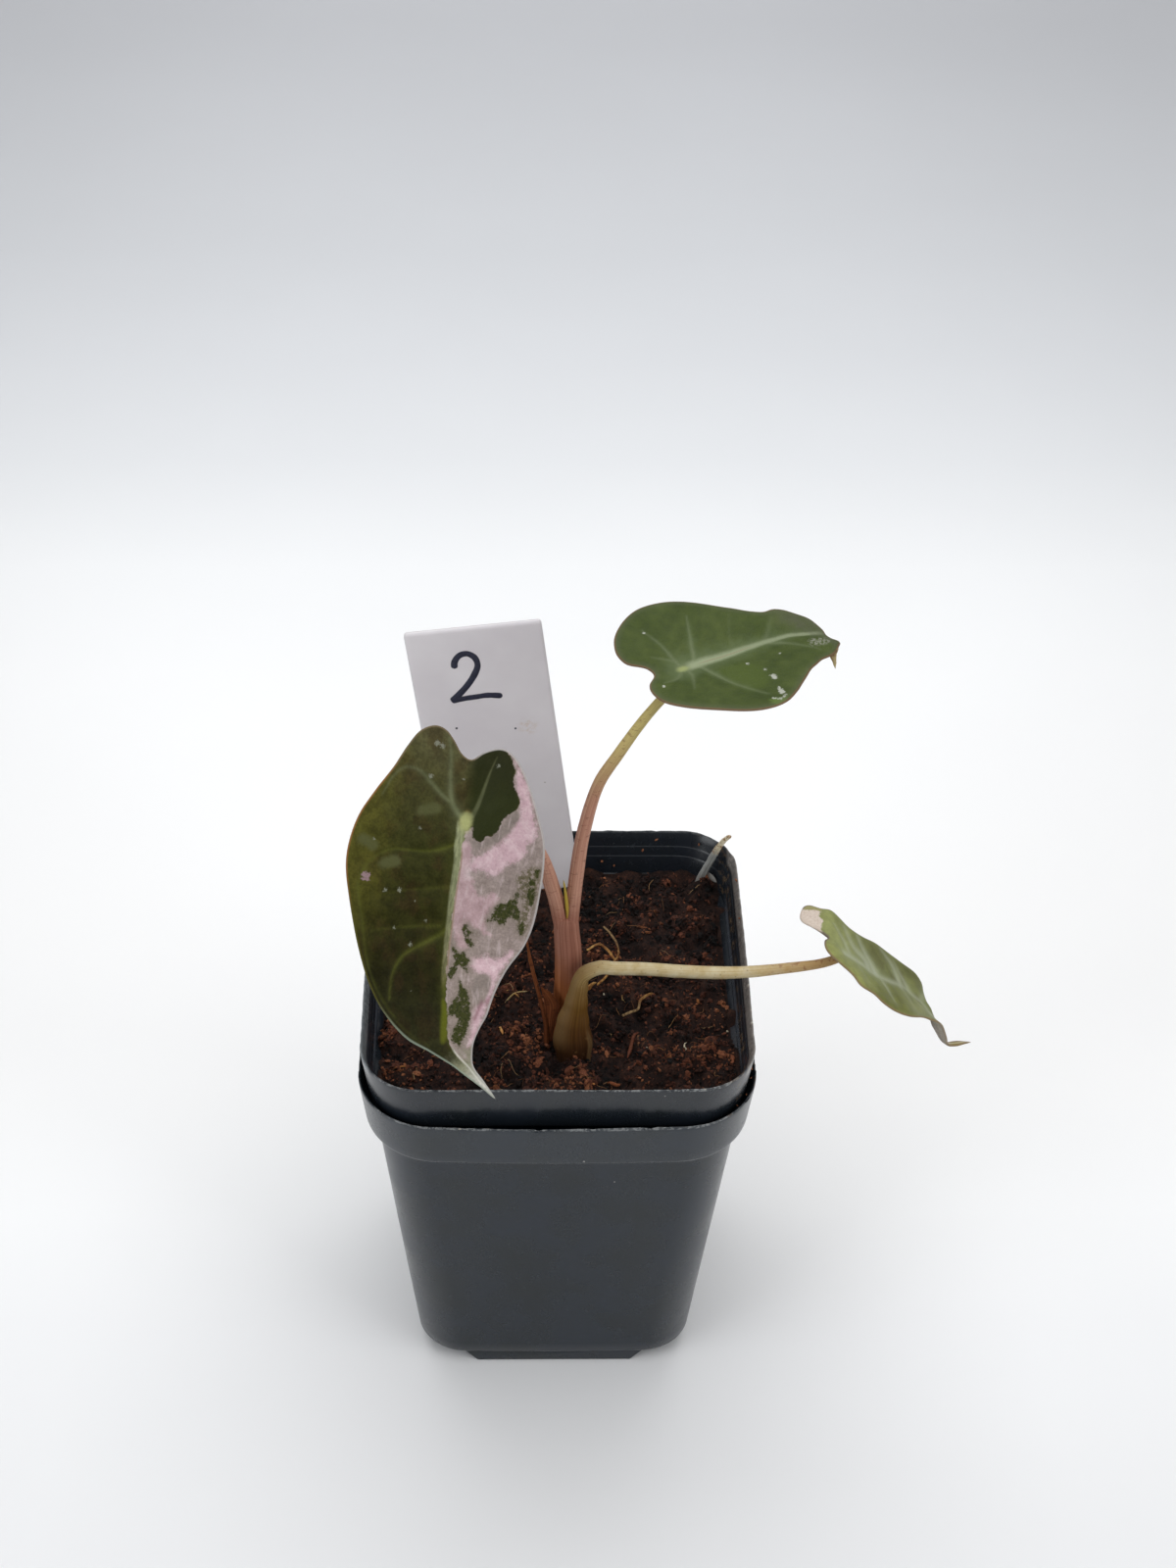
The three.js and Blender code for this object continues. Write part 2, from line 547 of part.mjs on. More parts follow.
export default plant;
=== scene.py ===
"""Looks of the potted variegated bambino alocasia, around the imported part.

Every shape is worked out in millimetres in the part's own frame and stored in metres.
"""

import math

import bmesh
import bpy
import numpy as np
from mathutils import Matrix, Vector


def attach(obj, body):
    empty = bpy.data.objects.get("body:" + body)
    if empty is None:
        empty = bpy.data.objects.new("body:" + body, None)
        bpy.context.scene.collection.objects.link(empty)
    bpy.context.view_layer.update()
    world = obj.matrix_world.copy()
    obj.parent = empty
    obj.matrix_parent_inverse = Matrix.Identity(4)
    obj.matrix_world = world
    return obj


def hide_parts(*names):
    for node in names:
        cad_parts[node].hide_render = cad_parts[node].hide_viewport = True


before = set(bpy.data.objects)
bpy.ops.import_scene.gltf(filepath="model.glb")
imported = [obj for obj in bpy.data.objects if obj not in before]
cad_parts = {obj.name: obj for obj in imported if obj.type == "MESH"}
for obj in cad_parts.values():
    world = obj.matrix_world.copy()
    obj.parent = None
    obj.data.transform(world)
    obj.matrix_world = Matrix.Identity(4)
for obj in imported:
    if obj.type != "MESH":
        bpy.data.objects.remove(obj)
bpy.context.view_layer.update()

MM = 0.001
random = np.random.default_rng(11)


# Mesh helpers

def smoothstep(value, low, high):
    share = np.clip((np.asarray(value, float) - low) / (high - low), 0, 1)
    return share * share * (3 - 2 * share)


def bell(distance, width):
    return np.exp(-(distance / width) ** 2)


def link(name, data):
    """A new object in the scene for a mesh, a lamp or a camera."""
    made = bpy.data.objects.new(name, data)
    bpy.context.scene.collection.objects.link(made)
    return made


def unit(rows):
    return rows / np.linalg.norm(rows, axis=1)[:, None]


def distances(points):
    """How far along its line each point is."""
    return np.concatenate([[0], np.cumsum(np.linalg.norm(np.diff(points, axis=0), axis=1))])


def mesh_object(name, points, quads=(), tris=(), fields=None, smooth=True):
    """An object from points in mm, four- and three-cornered faces, and values per point."""
    mesh = bpy.data.meshes.new(name)
    points = np.asarray(points, float) * MM
    quads = np.asarray(quads, np.int32).reshape(-1, 4)
    tris = np.asarray(tris, np.int32).reshape(-1, 3)
    corners = np.concatenate([quads.ravel(), tris.ravel()])
    starts = np.concatenate([np.arange(len(quads)) * 4, len(quads) * 4 + np.arange(len(tris)) * 3])
    mesh.vertices.add(len(points))
    mesh.vertices.foreach_set("co", points.astype(np.float32).ravel())
    mesh.loops.add(len(corners))
    mesh.loops.foreach_set("vertex_index", corners)
    mesh.polygons.add(len(starts))
    mesh.polygons.foreach_set("loop_start", starts.astype(np.int32))
    mesh.update(calc_edges=True)
    mesh.validate()
    for field, values in (fields or {}).items():
        values = np.asarray(values, np.float32)
        kind, key = ("FLOAT", "value") if values.ndim == 1 else ("FLOAT_VECTOR", "vector")
        mesh.attributes.new(field, kind, "POINT").data.foreach_set(key, values.ravel())
    mesh.polygons.foreach_set("use_smooth", [smooth] * len(mesh.polygons))
    return link(name, mesh)


def dress(piece, look, slot, *nodes):
    piece.data.materials.clear()
    piece.data.materials.append(look.material)
    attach(piece, "root")
    if nodes:
        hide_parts(*nodes)
    return piece


def loft_faces(rings, size):
    """Faces of a tube of rings; the two end fans use the points right after the rings."""
    row, column = np.meshgrid(np.arange(rings - 1), np.arange(size), indexing="ij")
    a = (row * size + column).ravel()
    b = (row * size + (column + 1) % size).ravel()
    k = np.arange(size)
    following = (k + 1) % size
    top, low_end = (rings - 1) * size, rings * size
    return np.stack([a, b, b + size, a + size], 1), np.concatenate([
        np.stack([np.full(size, low_end), following, k], 1),
        np.stack([np.full(size, low_end + 1), top + k, top + following], 1)])


def path_points(corners, count, closed=False):
    """Centripetal Catmull-Rom through the corners, at equal parameter steps."""
    corners = np.asarray(corners, float)
    total = len(corners)
    spans = total if closed else total - 1
    place = np.linspace(0, spans, count, endpoint=not closed)
    index = np.minimum(np.floor(place).astype(int), spans - 1)
    share = (place - index)[:, None]
    if closed:
        at = [corners[(index + k) % total] for k in (-1, 0, 1, 2)]
    else:
        extended = np.vstack([2 * corners[0] - corners[1], corners, 2 * corners[-1] - corners[-2]])
        at = [extended[index + k] for k in (0, 1, 2, 3)]
    steps = [np.sqrt(np.linalg.norm(at[k + 1] - at[k], axis=1))[:, None] for k in range(3)]
    d0, d1, d2 = (np.maximum(step, 1e-6) for step in steps)
    m1 = ((at[1] - at[0]) / d0 - (at[2] - at[0]) / (d0 + d1) + (at[2] - at[1]) / d1) * d1
    m2 = ((at[2] - at[1]) / d1 - (at[3] - at[1]) / (d1 + d2) + (at[3] - at[2]) / d2) * d1
    cubic = 2 * at[1] - 2 * at[2] + m1 + m2
    square = -3 * at[1] + 3 * at[2] - 2 * m1 - m2
    return ((cubic * share + square) * share + m1) * share + at[1]


def even_path(corners, count, closed=False):
    """The same curve at equal distances."""
    fine = path_points(corners, max(2000, 6 * count), closed)
    if closed:
        fine = np.vstack([fine, fine[:1]])
    length = distances(fine)
    wanted = np.linspace(0, length[-1], count, endpoint=not closed)
    return np.stack([np.interp(wanted, length, fine[:, k]) for k in range(fine.shape[1])], 1)


def nearest_on(points, line, closed=False):
    """Distance to a line and how far along it the nearest place is, 0 to 1."""
    line = np.asarray(line, float)
    if closed:
        line = np.vstack([line, line[:1]])
    best = np.full(len(points), np.inf)
    place = np.zeros(len(points))
    for k, (a, b) in enumerate(zip(line[:-1], line[1:])):
        along = b - a
        share = np.clip(((points - a) @ along) / max(along @ along, 1e-9), 0, 1)
        distance = np.linalg.norm(points - a - share[:, None] * along, axis=1)
        closer = distance < best
        best[closer] = distance[closer]
        place[closer] = (k + share[closer]) / (len(line) - 1)
    return best, place


def line_distance(points, line, closed=False):
    return nearest_on(points, line, closed)[0]


def inside_by(points, outline):
    """Distance to a closed curve through the given corners, positive inside it."""
    outline = even_path(outline, 6 * len(outline), closed=True)
    inside = np.zeros(len(points), bool)
    x, y = points[:, 0], points[:, 1]
    for (x0, y0), (x1, y1) in zip(outline, np.roll(outline, -1, 0)):
        crosses = (y0 > y) != (y1 > y)
        if y0 != y1:
            inside ^= crosses & (x < (x1 - x0) * (y - y0) / (y1 - y0) + x0)
    distance = line_distance(points, outline, closed=True)
    return np.where(inside, distance, -distance)


# Material helper

class Value:
    """A number, place or colour that differs from spot to spot on a surface."""

    def __init__(self, look, socket):
        self.look, self.socket = look, socket

    def __add__(self, other):
        return self.look.math("ADD", self, other)

    def __mul__(self, other):
        return self.look.math("MULTIPLY", self, other)

    def __abs__(self):
        return self.look.math("ABSOLUTE", self)

    def most(self, other):
        return self.look.math("MAXIMUM", self, other)

    def scaled(self, factor):
        return self.look.made("VectorMath", "Vector", {0: self, "Scale": factor}, operation="SCALE")

    def stretched(self, size):
        return self.look.made("VectorMath", "Vector", {0: self, 1: size}, operation="MULTIPLY")

    def step(self, low, high, start=0.0, end=1.0, kind="SMOOTHSTEP"):
        """From start, where this is low, to end, where this is high."""
        inputs = {"Value": self, "From Min": low, "From Max": high, "To Min": start, "To Max": end}
        return self.look.made("MapRange", "Result", inputs, interpolation_type=kind)

    def ramp(self, *stops):
        """A colour for each value; every stop is a value and its colour."""
        node = self.look.node("ValToRGB", {"Fac": self})
        elements = node.color_ramp.elements
        while len(elements) < len(stops):
            elements.new(0.5)
        for element, (position, colour) in zip(elements, stops):
            element.position = position
            element.color = (*colour, 1)
        return Value(self.look, node.outputs["Color"])

    def mixed(self, share, other):
        return self.look.mix(share, self, other)


class Look:
    """A procedural material in mm; place may name a field that stands in for x, y and z."""

    def __init__(self, name, place=None, **shader):
        self.material = bpy.data.materials.new(name)
        self.material.use_nodes = True
        self.tree = self.material.node_tree
        self.shader = self.tree.nodes["Principled BSDF"]
        self.set(**shader)
        self.place = self.flat(place) if place else self.made("TexCoord", "Object", {}).scaled(1 / MM)

    def node(self, kind, inputs, **settings):
        node = self.tree.nodes.new("ShaderNode" + kind)
        for key, setting in settings.items():
            setattr(node, key, setting)
        for key, value in inputs.items():
            self.feed(node.inputs[key], value)
        return node

    def made(self, kind, output, inputs, **settings):
        return Value(self, self.node(kind, inputs, **settings).outputs[output])

    def feed(self, socket, value):
        if isinstance(value, Value):
            self.tree.links.new(value.socket, socket)
        else:
            socket.default_value = (*value, 1) if socket.type == "RGBA" else value

    def set(self, **shader):
        for key, value in shader.items():
            self.feed(self.shader.inputs[key.replace("_", " ").title().replace("Ior", "IOR")], value)

    def field(self, name):
        return self.made("Attribute", "Fac", {}, attribute_name=name)

    def flat(self, name):
        return self.made("Attribute", "Vector", {}, attribute_name=name)

    def axes(self, where):
        return [Value(self, socket) for socket in self.node("SeparateXYZ", {0: where}).outputs]

    def math(self, operation, a, b=0.0):
        return self.made("Math", 0, {0: a, 1: b}, operation=operation)

    def mix(self, share, a, b):
        return self.made("Mix", 2, {0: share, 6: a, 7: b}, data_type="RGBA")

    def noise(self, scale, detail=3.0, rough=0.55, where=None):
        inputs = {"Vector": where or self.place, "Scale": scale, "Detail": detail, "Roughness": rough}
        return self.made("TexNoise", "Fac", inputs)

    def swing(self, *settings):
        """The same noise around 0."""
        return self.math("SUBTRACT", self.noise(*settings), 0.5)

    def cells(self, scale, output="Distance"):
        return self.made("TexVoronoi", output, {"Vector": self.place, "Scale": scale})

    def specks(self, scale, reach, density):
        """Small scattered spots: 1 inside, in the given share of the cells."""
        chance = self.made("SeparateColor", 0, {0: self.cells(scale, "Color")})
        near = self.cells(scale).step(reach * 0.6, reach, 1.0, 0.0)
        return near * self.math("LESS_THAN", chance, density)

    def relief(self, height, distance, strength):
        inputs = {"Height": height, "Distance": distance * MM, "Strength": strength}
        self.set(normal=self.made("Bump", "Normal", inputs))


# Pots

COLLAR_LOW, COLLAR_SPAN = 66.3, 9.4
ARC_STEPS = 20
SIDE_STEPS = 52
BOW_HEIGHTS = (0, 60, 76)
OUTER = dict(rim=35.8, rim_r=13.3, collar=34.8, collar_r=13.2, top=32.6, top_r=9.3, foot=26.5, foot_r=9,
             rise=0, front_bow=(0.5, 0.8, 1.4), bow_power=2, back_bow=(0, 0, 0), flash=0.11, nicks=0.7)
INNER = dict(rim=35, rim_r=10.4, collar=34, collar_r=11, top=32.3, top_r=9.3,
             foot=26.2, foot_r=9, rise=8.2, front_bow=(0.3, 0.6, 0.75), bow_power=6, back_bow=(0, 0.3, 0.7),
             flash=0.07, nicks=0.1)


def square_ring(half, radius):
    """A rounded square, anticlockwise from the start of a corner's arc."""
    ring = []
    centre = half - radius
    corners = ((1, 1), (-1, 1), (-1, -1), (1, -1))
    for corner, (sx, sy) in enumerate(corners):
        for step in range(ARC_STEPS + 1):
            angle = (corner + step / ARC_STEPS) * math.pi / 2
            ring.append((sx * centre + radius * math.cos(angle), sy * centre + radius * math.sin(angle)))
        x, y = ring[-1]
        nx, ny = corners[(corner + 1) % 4]
        end_x, end_y = nx * centre + radius * math.cos(angle), ny * centre + radius * math.sin(angle)
        for share in np.arange(1, SIDE_STEPS) / SIDE_STEPS:
            ring.append((x + (end_x - x) * share, y + (end_y - y) * share))
    return np.array(ring)


def pot_profile(pot):
    """(half, radius, z) from the outside of the foot up, over the lip and down inside."""
    def at(z, inset):
        share = (z - COLLAR_LOW) / COLLAR_SPAN
        half = pot["collar"] + (pot["rim"] - pot["collar"]) * share
        radius = pot["collar_r"] + (pot["rim_r"] - pot["collar_r"]) * share
        return half - inset, radius - inset, z
    foot, foot_r, top, top_r = pot["foot"], pot["foot_r"], pot["top"], pot["top_r"]
    rows = [(foot - 1.2, foot_r - 1.0, 3.5), (foot - 0.7, foot_r - 0.5, 3.55),
            (foot - 0.25, foot_r - 0.15, 3.8), (foot, foot_r, 4.3)]
    for share in np.linspace(0, 1, 26)[1:]:
        rows.append((foot + (top - foot) * share, foot_r + (top_r - foot_r) * share, 4.3 + 61 * share))
    collar, collar_r = pot["collar"], pot["collar_r"]
    rows += [(top + 0.1, top_r + 0.2, 65.5), (collar - 0.9, collar_r - 0.9, 65.65),
             (collar - 0.35, collar_r - 0.3, 65.75), (collar - 0.08, collar_r - 0.05, 66.0),
             at(66.4, 0), at(68, 0), at(70, 0), at(72, 0), at(73.5, 0), at(74.8, 0), at(75.5, 0.01),
             at(75.82, 0.05), at(75.95, 0.12), at(76, 0.22), at(75.93, 0.32), at(75.7, 0.42),
             at(75.2, 0.58), at(74.4, 0.78), at(73.1, 0.9), at(73.0, 0.93), at(72.95, 1.0), at(72.85, 1.04),
             at(71.1, 1.06), at(71.0, 1.09), at(70.95, 1.16), at(70.85, 1.2), at(68.5, 1.3),
             at(67.2, 1.35), (top - 0.4, top_r, 66.7), (top - 0.75, top_r - 0.7, 66.2)]
    for share in np.linspace(1, 0, 14):
        rows.append((foot - 0.8 + (top - foot) * share, foot_r - 0.8 + (top_r - foot_r) * share,
                     5.2 + 60.4 * share))
    rows += [(foot - 0.95, foot_r - 0.9, 4.8), (foot - 1.3, foot_r - 1.2, 4.5)]
    return rows


# The foot's cross of hollow arms: what is done, half-width, inset, growth, low, high, rounding
FOOT_ARMS = (("UNION", 15, 0, 3.5, 0, 4.0, 0.35), ("DIFFERENCE", 14.6, 1, 3.4, 0.9, 4.9, 0))
FOOT_INSET = 0.7
DRAIN_AT, DRAIN_RADIUS, DRAIN_DEPTH, DRAIN_Z = 21, 2, 4, 4
SHARP = math.radians(38)


def block(size, grow, low, high, rounding):
    """A box that is this much wider at its top, with its lower edges rounded."""
    made = bmesh.new()
    bmesh.ops.create_cube(made, size=2)
    for corner in made.verts:
        top = corner.co.z > 0
        corner.co = Vector((corner.co.x * (size[0] + grow[0] * top),
                            corner.co.y * (size[1] + grow[1] * top), high if top else low))
    if rounding:
        lower = [edge for edge in made.edges if min(v.co.z for v in edge.verts) < low + 0.1]
        bmesh.ops.bevel(made, geom=lower, offset=rounding, segments=3, affect="EDGES", profile=0.5)
    for corner in made.verts:
        corner.co *= MM
    return tool_from(made)


def tool_from(made):
    mesh = bpy.data.meshes.new("tool")
    made.to_mesh(mesh)
    made.free()
    return link("tool", mesh)


def pot_tools(pot):
    """Bodies that are added to a pot's shell or cut from it."""
    tools = []
    for operation, half, inset, grow, *rest in FOOT_ARMS:
        reach = pot["foot"] - FOOT_INSET - inset
        tools.append((block((half, reach), (grow, 0), *rest), operation))
        tools.append((block((reach, half), (0, grow), *rest), operation))
    for x in (-DRAIN_AT, DRAIN_AT):
        for y in (-DRAIN_AT, DRAIN_AT):
            made = bmesh.new()
            bmesh.ops.create_cone(made, cap_ends=True, segments=28, radius1=DRAIN_RADIUS * MM,
                                  radius2=DRAIN_RADIUS * MM, depth=DRAIN_DEPTH * MM)
            drain = tool_from(made)
            drain.location = (x * MM, y * MM, DRAIN_Z * MM)
            tools.append((drain, "DIFFERENCE"))
    return tools


def pot_piece(name, pot, seed):
    rows = pot_profile(pot)
    wobble = np.random.default_rng(seed)
    phases = wobble.uniform(0, 2 * math.pi, 6)
    size = len(square_ring(10, 2))
    around = np.linspace(0, 2 * math.pi, size, endpoint=False)
    ragged = wobble.normal(0, 1, size)
    ragged = 0.5 * ragged + 0.5 * np.roll(ragged, 1)
    nicks = pot["nicks"] * wobble.random(size) ** 14
    rings = []
    for half, radius, z in rows:
        ring = square_ring(half, radius)
        lip = smoothstep(z, 75.3, 76)
        # The rim is a little uneven, with a moulding flash on its edge
        wave = 0.12 * np.sin(3 * around + phases[0]) + 0.08 * np.sin(7 * around + phases[1])
        height = wave * smoothstep(z, 66, 76) + (pot["flash"] * ragged - nicks) * lip
        sag = 0.10 * np.sin(2 * around + phases[2]) * smoothstep(z, 20, 60)
        shifted = ring + unit(ring) * (sag + (0.6 * pot["flash"] * ragged - 0.5 * nicks) * lip)[:, None]
        # The walls are bowed out between their corners
        flatness = 1 - np.clip(np.abs(ring[:, 0]) / half, 0, 1) ** pot["bow_power"]
        ahead = np.interp(z, BOW_HEIGHTS, pot["front_bow"]) * smoothstep(-ring[:, 1] / half, 0.55, 0.95)
        behind = np.interp(z, BOW_HEIGHTS, pot["back_bow"]) * smoothstep(ring[:, 1] / half, 0.55, 0.95)
        shifted[:, 1] += (behind - ahead) * flatness
        rings.append(np.column_stack([shifted, z + height]))
    shell = mesh_object(name, np.vstack([*rings, [[0, 0, 3.5], [0, 0, 4.5]]]), *loft_faces(len(rows), size))
    tools = pot_tools(pot)
    for tool, operation in tools:
        cut = shell.modifiers.new("cut", "BOOLEAN")
        cut.operation = operation
        cut.solver = "EXACT"
        cut.object = tool
    bpy.context.view_layer.update()
    finished = bpy.data.meshes.new_from_object(shell.evaluated_get(bpy.context.evaluated_depsgraph_get()))
    shell.modifiers.clear()
    shell.data = finished
    for tool, _ in tools:
        bpy.data.objects.remove(tool)
    finished.transform(Matrix.Translation((0, 0, pot["rise"] * MM)))
    finished.polygons.foreach_set("use_smooth", [True] * len(finished.polygons))
    finished.set_sharp_from_angle(angle=SHARP)
    return shell


def plastic_look(name, tone, rise):
    """Black moulded plastic; rise is how far the pot stands above the ground, in mm."""
    look = Look(name, specular_ior_level=0.5)
    cloud, fine = look.noise(0.09, 4, 0.6), look.noise(1.1, 3, 0.6)
    colour = cloud.ramp((0.35, [0.7 * c for c in tone]),
                        (0.65, [share * c for share, c in zip((1.3, 1.1, 1.5), tone)]))
    x, y, z = look.axes(look.place)
    dust = (look.noise(0.35, 5, 0.7) * fine).step(0.3, 0.45)
    colour = colour.mixed(dust * 0.12, (0.066, 0.08, 0.092))
    collar = z.step(65.6 + rise, 66.4 + rise, 0, 0.12)
    colour = colour.mixed(collar, (0.08, 0.092, 0.104))
    # Painted highlight: a thin pale line along the collar's lower edge
    collar_edge_highlight = z.step(65.45 + rise, 65.7 + rise) * z.step(65.95 + rise, 66.2 + rise, 0.4, 0)
    colour = colour.mixed(collar_edge_highlight, (0.13, 0.135, 0.14))
    # Painted highlight: a faint ragged lighter line along the top of the lip
    edge = z.step(75.6 + rise, 75.85 + rise) * look.noise(0.8, 4, 0.7).step(0.35, 0.6)
    colour = colour.mixed(edge * 0.4, (0.13, 0.14, 0.145))
    # Painted highlight: a ragged light line along the front of the lip
    lip_front_highlight = z.step(75.5 + rise, 75.7 + rise) * y.step(-30.5, -33)
    lip_front_highlight = lip_front_highlight * look.noise(1.3, 5, 0.7).step(0.46, 0.58)
    colour = colour.mixed(lip_front_highlight * 0.75, (0.24, 0.25, 0.25))
    # Brown dust from the soil on the right side's top and inner face
    wall = x.step(31.2, 32) * x.step(33.4, 33.9, 1, 0)
    rim = x.step(26, 33) * z.step(75.5 + rise, 75.8 + rise)
    soiled = (wall * z.step(76.2, 76.6)).most(rim) * look.noise(0.55, 5, 0.7).step(0.5, 0.62)
    colour = colour.mixed(soiled * 0.7, look.mix(fine, (0.04, 0.02, 0.012), (0.16, 0.11, 0.06)))
    if rise:
        # The tops of the left and right rims are painted lighter: partly dust, brownish on the right and grey
        # on the left, partly a painted highlight where the rim catches the light
        side_rim = abs(x).step(33, 33.5) * z.step(73.4 + rise, 74.4 + rise)
        rim_dust_and_highlight = side_rim * fine.step(0.3, 0.6, 0.5, 0.9)
        colour = colour.mixed(rim_dust_and_highlight, look.mix(x.step(-5, 5), (0.17, 0.19, 0.2), (0.22, 0.2, 0.183)))
        # Painted reflection: a faint lighter, bluer band low on the inner pot's left and right inner walls
        wall_reflection_band = abs(x).step(31.8, 32.4) * z.step(75.3, 76.3)
        wall_reflection_band = wall_reflection_band * (z.step(78, 77.2) * abs(y).step(26, 18))
        colour = colour.mixed(wall_reflection_band * fine.step(0.3, 0.6, 0.5, 0.85), (0.11, 0.125, 0.15))
    fleck = look.specks(0.75, 0.3, 0.3) * (rim if rise else edge)
    fleck = fleck.most(look.specks(0.9, 0.32, 0.25) * (edge * y.step(-30, -32)))
    colour = colour.mixed(fleck * 0.8, (0.45, 0.42, 0.36))
    colour = colour.mixed(look.specks(0.22, 0.05, 0.35) * 0.7, (0.42, 0.41, 0.38))
    scratch = look.noise(0.5, 2, 0.5, look.place.stretched((6, 6, 0.35))).step(0.7, 0.76)
    colour = colour.mixed(scratch * 0.12, (0.12, 0.125, 0.13))
    look.set(base_color=colour, roughness=cloud.step(0.3, 0.7, 0.23, 0.31) + dust * 0.1)
    look.relief(look.noise(7, 2, 0.5) * 0.3 + look.noise(0.6, 3, 0.5), 0.03, 0.35)
    return look


outer_look = plastic_look("outer_pot_plastic", (0.003, 0.009, 0.013), OUTER["rise"])
inner_look = plastic_look("inner_pot_plastic", (0.002, 0.005, 0.008), INNER["rise"])
dress(pot_piece("pot_outer", OUTER, 3), outer_look, "outer_pot_plastic", "outer_pot")
dress(pot_piece("pot_inner", INNER, 5), inner_look, "inner_pot_plastic", "inner_pot")


# Soil

SOIL_LEVEL = 75.2
SOIL_HALF, SOIL_CORNER = 32.5, 9.4
LUMPS, BITS, FIBRES = 1780, 8900, 250


def clods():
    """The same seeded clods as in the part's soil: x, y, radius, rise."""
    state = 7
    made = []
    for _ in range(90):
        numbers = []
        for _ in range(4):
            state = (state * 1664525 + 1013904223) % 4294967296
            numbers.append(state / 4294967296)
        made.append(((numbers[0] * 2 - 1) * 32, (numbers[1] * 2 - 1) * 32, 1.2 + numbers[2] * 2,
                     0.3 + numbers[3] * 1.1))
    return made


CLODS = clods()


def soil_height(x, y):
    x, y = np.asarray(x, float), np.asarray(y, float)
    height = SOIL_LEVEL + 0.45 * np.sin(0.21 * x + 1.3) * np.cos(0.19 * y - 0.4)
    height = height + 0.3 * np.sin(0.5 * x + 0.36 * y) + 0.25 * np.sin(0.71 * y - 0.23 * x + 2)
    for cx, cy, radius, rise in CLODS:
        height = height + rise * np.exp(-((x - cx) ** 2 + (y - cy) ** 2) / radius ** 2)
    return height


def soft_noise(x, y, size, seed):
    """Smooth random heights on a grid of the given size, between -1 and 1."""
    grid = np.random.default_rng(seed).uniform(-1, 1, (160, 160))
    u, v = np.asarray(x) / size + 80, np.asarray(y) / size + 80
    i, j = np.floor(u).astype(int), np.floor(v).astype(int)
    a, b = u - i, v - j
    a, b = a * a * (3 - 2 * a), b * b * (3 - 2 * b)
    i, j = i % 159, j % 159
    low = grid[i, j] * (1 - a) + grid[i + 1, j] * a
    high = grid[i, j + 1] * (1 - a) + grid[i + 1, j + 1] * a
    return low * (1 - b) + high * b


def in_pot(x, y):
    """How far a point is inside the rounded square of the soil."""
    qx, qy = np.abs(x) - (SOIL_HALF - SOIL_CORNER), np.abs(y) - (SOIL_HALF - SOIL_CORNER)
    return SOIL_CORNER - (np.hypot(np.maximum(qx, 0), np.maximum(qy, 0)) + np.minimum(np.maximum(qx, qy), 0))


# Soil heaped against the front stalk and the withered strip: x, y, rise, radius
MOUNDS = [(3, -20.5, 1.1, 3.2), (28.4, 27.8, 2.9, 2.3)]


def rough_soil(x, y):
    """The soil's height with its mounds, hollows and crumbs."""
    height = soil_height(x, y) - 0.25 + 0.7 * bell(in_pot(x, y), 2.5)
    for cx, cy, rise, radius in MOUNDS:
        height = height + rise * bell(np.hypot(x - cx, y - cy), radius)
    sunk = bell(33.0 - x, 2.0) * smoothstep(y, -9, -4) * (1 - smoothstep(y, 16, 24))
    sunk = sunk + 0.7 * bell(x + 33.0, 2.0) * smoothstep(y, -26, -22) * (1 - smoothstep(y, 0, 20))
    height = height - 2.6 * sunk
    for size, amount, seed in ((3.6, 0.95, 21), (1.7, 0.62, 22), (0.8, 0.3, 23), (0.45, 0.14, 24)):
        height = height + amount * soft_noise(x, y, size, seed)
    return height


def clump(x, y):
    """How far the soil stands above or below its slow surface, roughly -1 to 1."""
    return 0.6 * soft_noise(x, y, 3.6, 21) + 0.5 * soft_noise(x, y, 1.7, 22) + 0.25 * soft_noise(
        x, y, 0.8, 23)


# The soil's rough top, then its side down in the pot: half-width, corner radius, height
BED_HALF, BED_CORNER, BED_POINTS, BED_RINGS = 33.2, 9.8, 232, 114
BED_SIDE = ((32.9, 9.6, 75.3), (31.2, 8.2, 74.4), (26.0, 7.9, 13.2), (25.0, 7.0, 12.9))


def soil_bed():
    rings = []
    ring = even_path(square_ring(BED_HALF, BED_CORNER), BED_POINTS, closed=True)
    for share in np.linspace(0, 1, BED_RINGS + 1)[1:]:
        x, y = ring[:, 0] * share, ring[:, 1] * share
        rings.append(np.column_stack([x, y, rough_soil(x, y)]))
    for half, radius, z in BED_SIDE:
        low = even_path(square_ring(half, radius), BED_POINTS, closed=True)
        rings.append(np.column_stack([low, np.full(BED_POINTS, z)]))
    points = np.vstack([*rings[::-1], [[0, 0, BED_SIDE[-1][2]], [0, 0, float(rough_soil(0, 0))]]])
    return mesh_object("soil_bed", points, *loft_faces(len(rings), BED_POINTS),
                       {"tone": clump(points[:, 0], points[:, 1])})


def soil_look():
    look = Look("soil_ground", roughness=0.9, specular_ior_level=0.25)
    tone = look.noise(0.5, 4, 0.65) * 0.5 + look.noise(3.2, 3, 0.6) * 0.5 + look.field("tone") * 0.12
    look.set(base_color=tone.ramp((0.3, (0.004, 0.0025, 0.002)), (0.46, (0.013, 0.006, 0.005)),
                                  (0.6, (0.04, 0.016, 0.01)), (0.75, (0.1, 0.038, 0.022))))
    look.relief(look.noise(5, 4, 0.7), 0.35, 0.9)
    return look


def crumb_look():
    look = Look("soil_crumbs", roughness=0.85, specular_ior_level=0.3)
    tone = look.field("tone")
    mottled = tone + look.swing(2.6, 4, 0.7) * 0.7
    look.set(base_color=mottled.ramp((0.05, (0.002, 0.0015, 0.0015)), (0.35, (0.014, 0.006, 0.0045)),
                                     (0.6, (0.072, 0.023, 0.013)), (0.82, (0.175, 0.055, 0.027)),
                                     (1, (0.29, 0.108, 0.047))))
    look.set(roughness=look.noise(1.7, 2).step(0.3, 0.7, 0.7, 0.95))
    look.relief(look.noise(6, 4, 0.75), 0.3, 0.9)
    return look


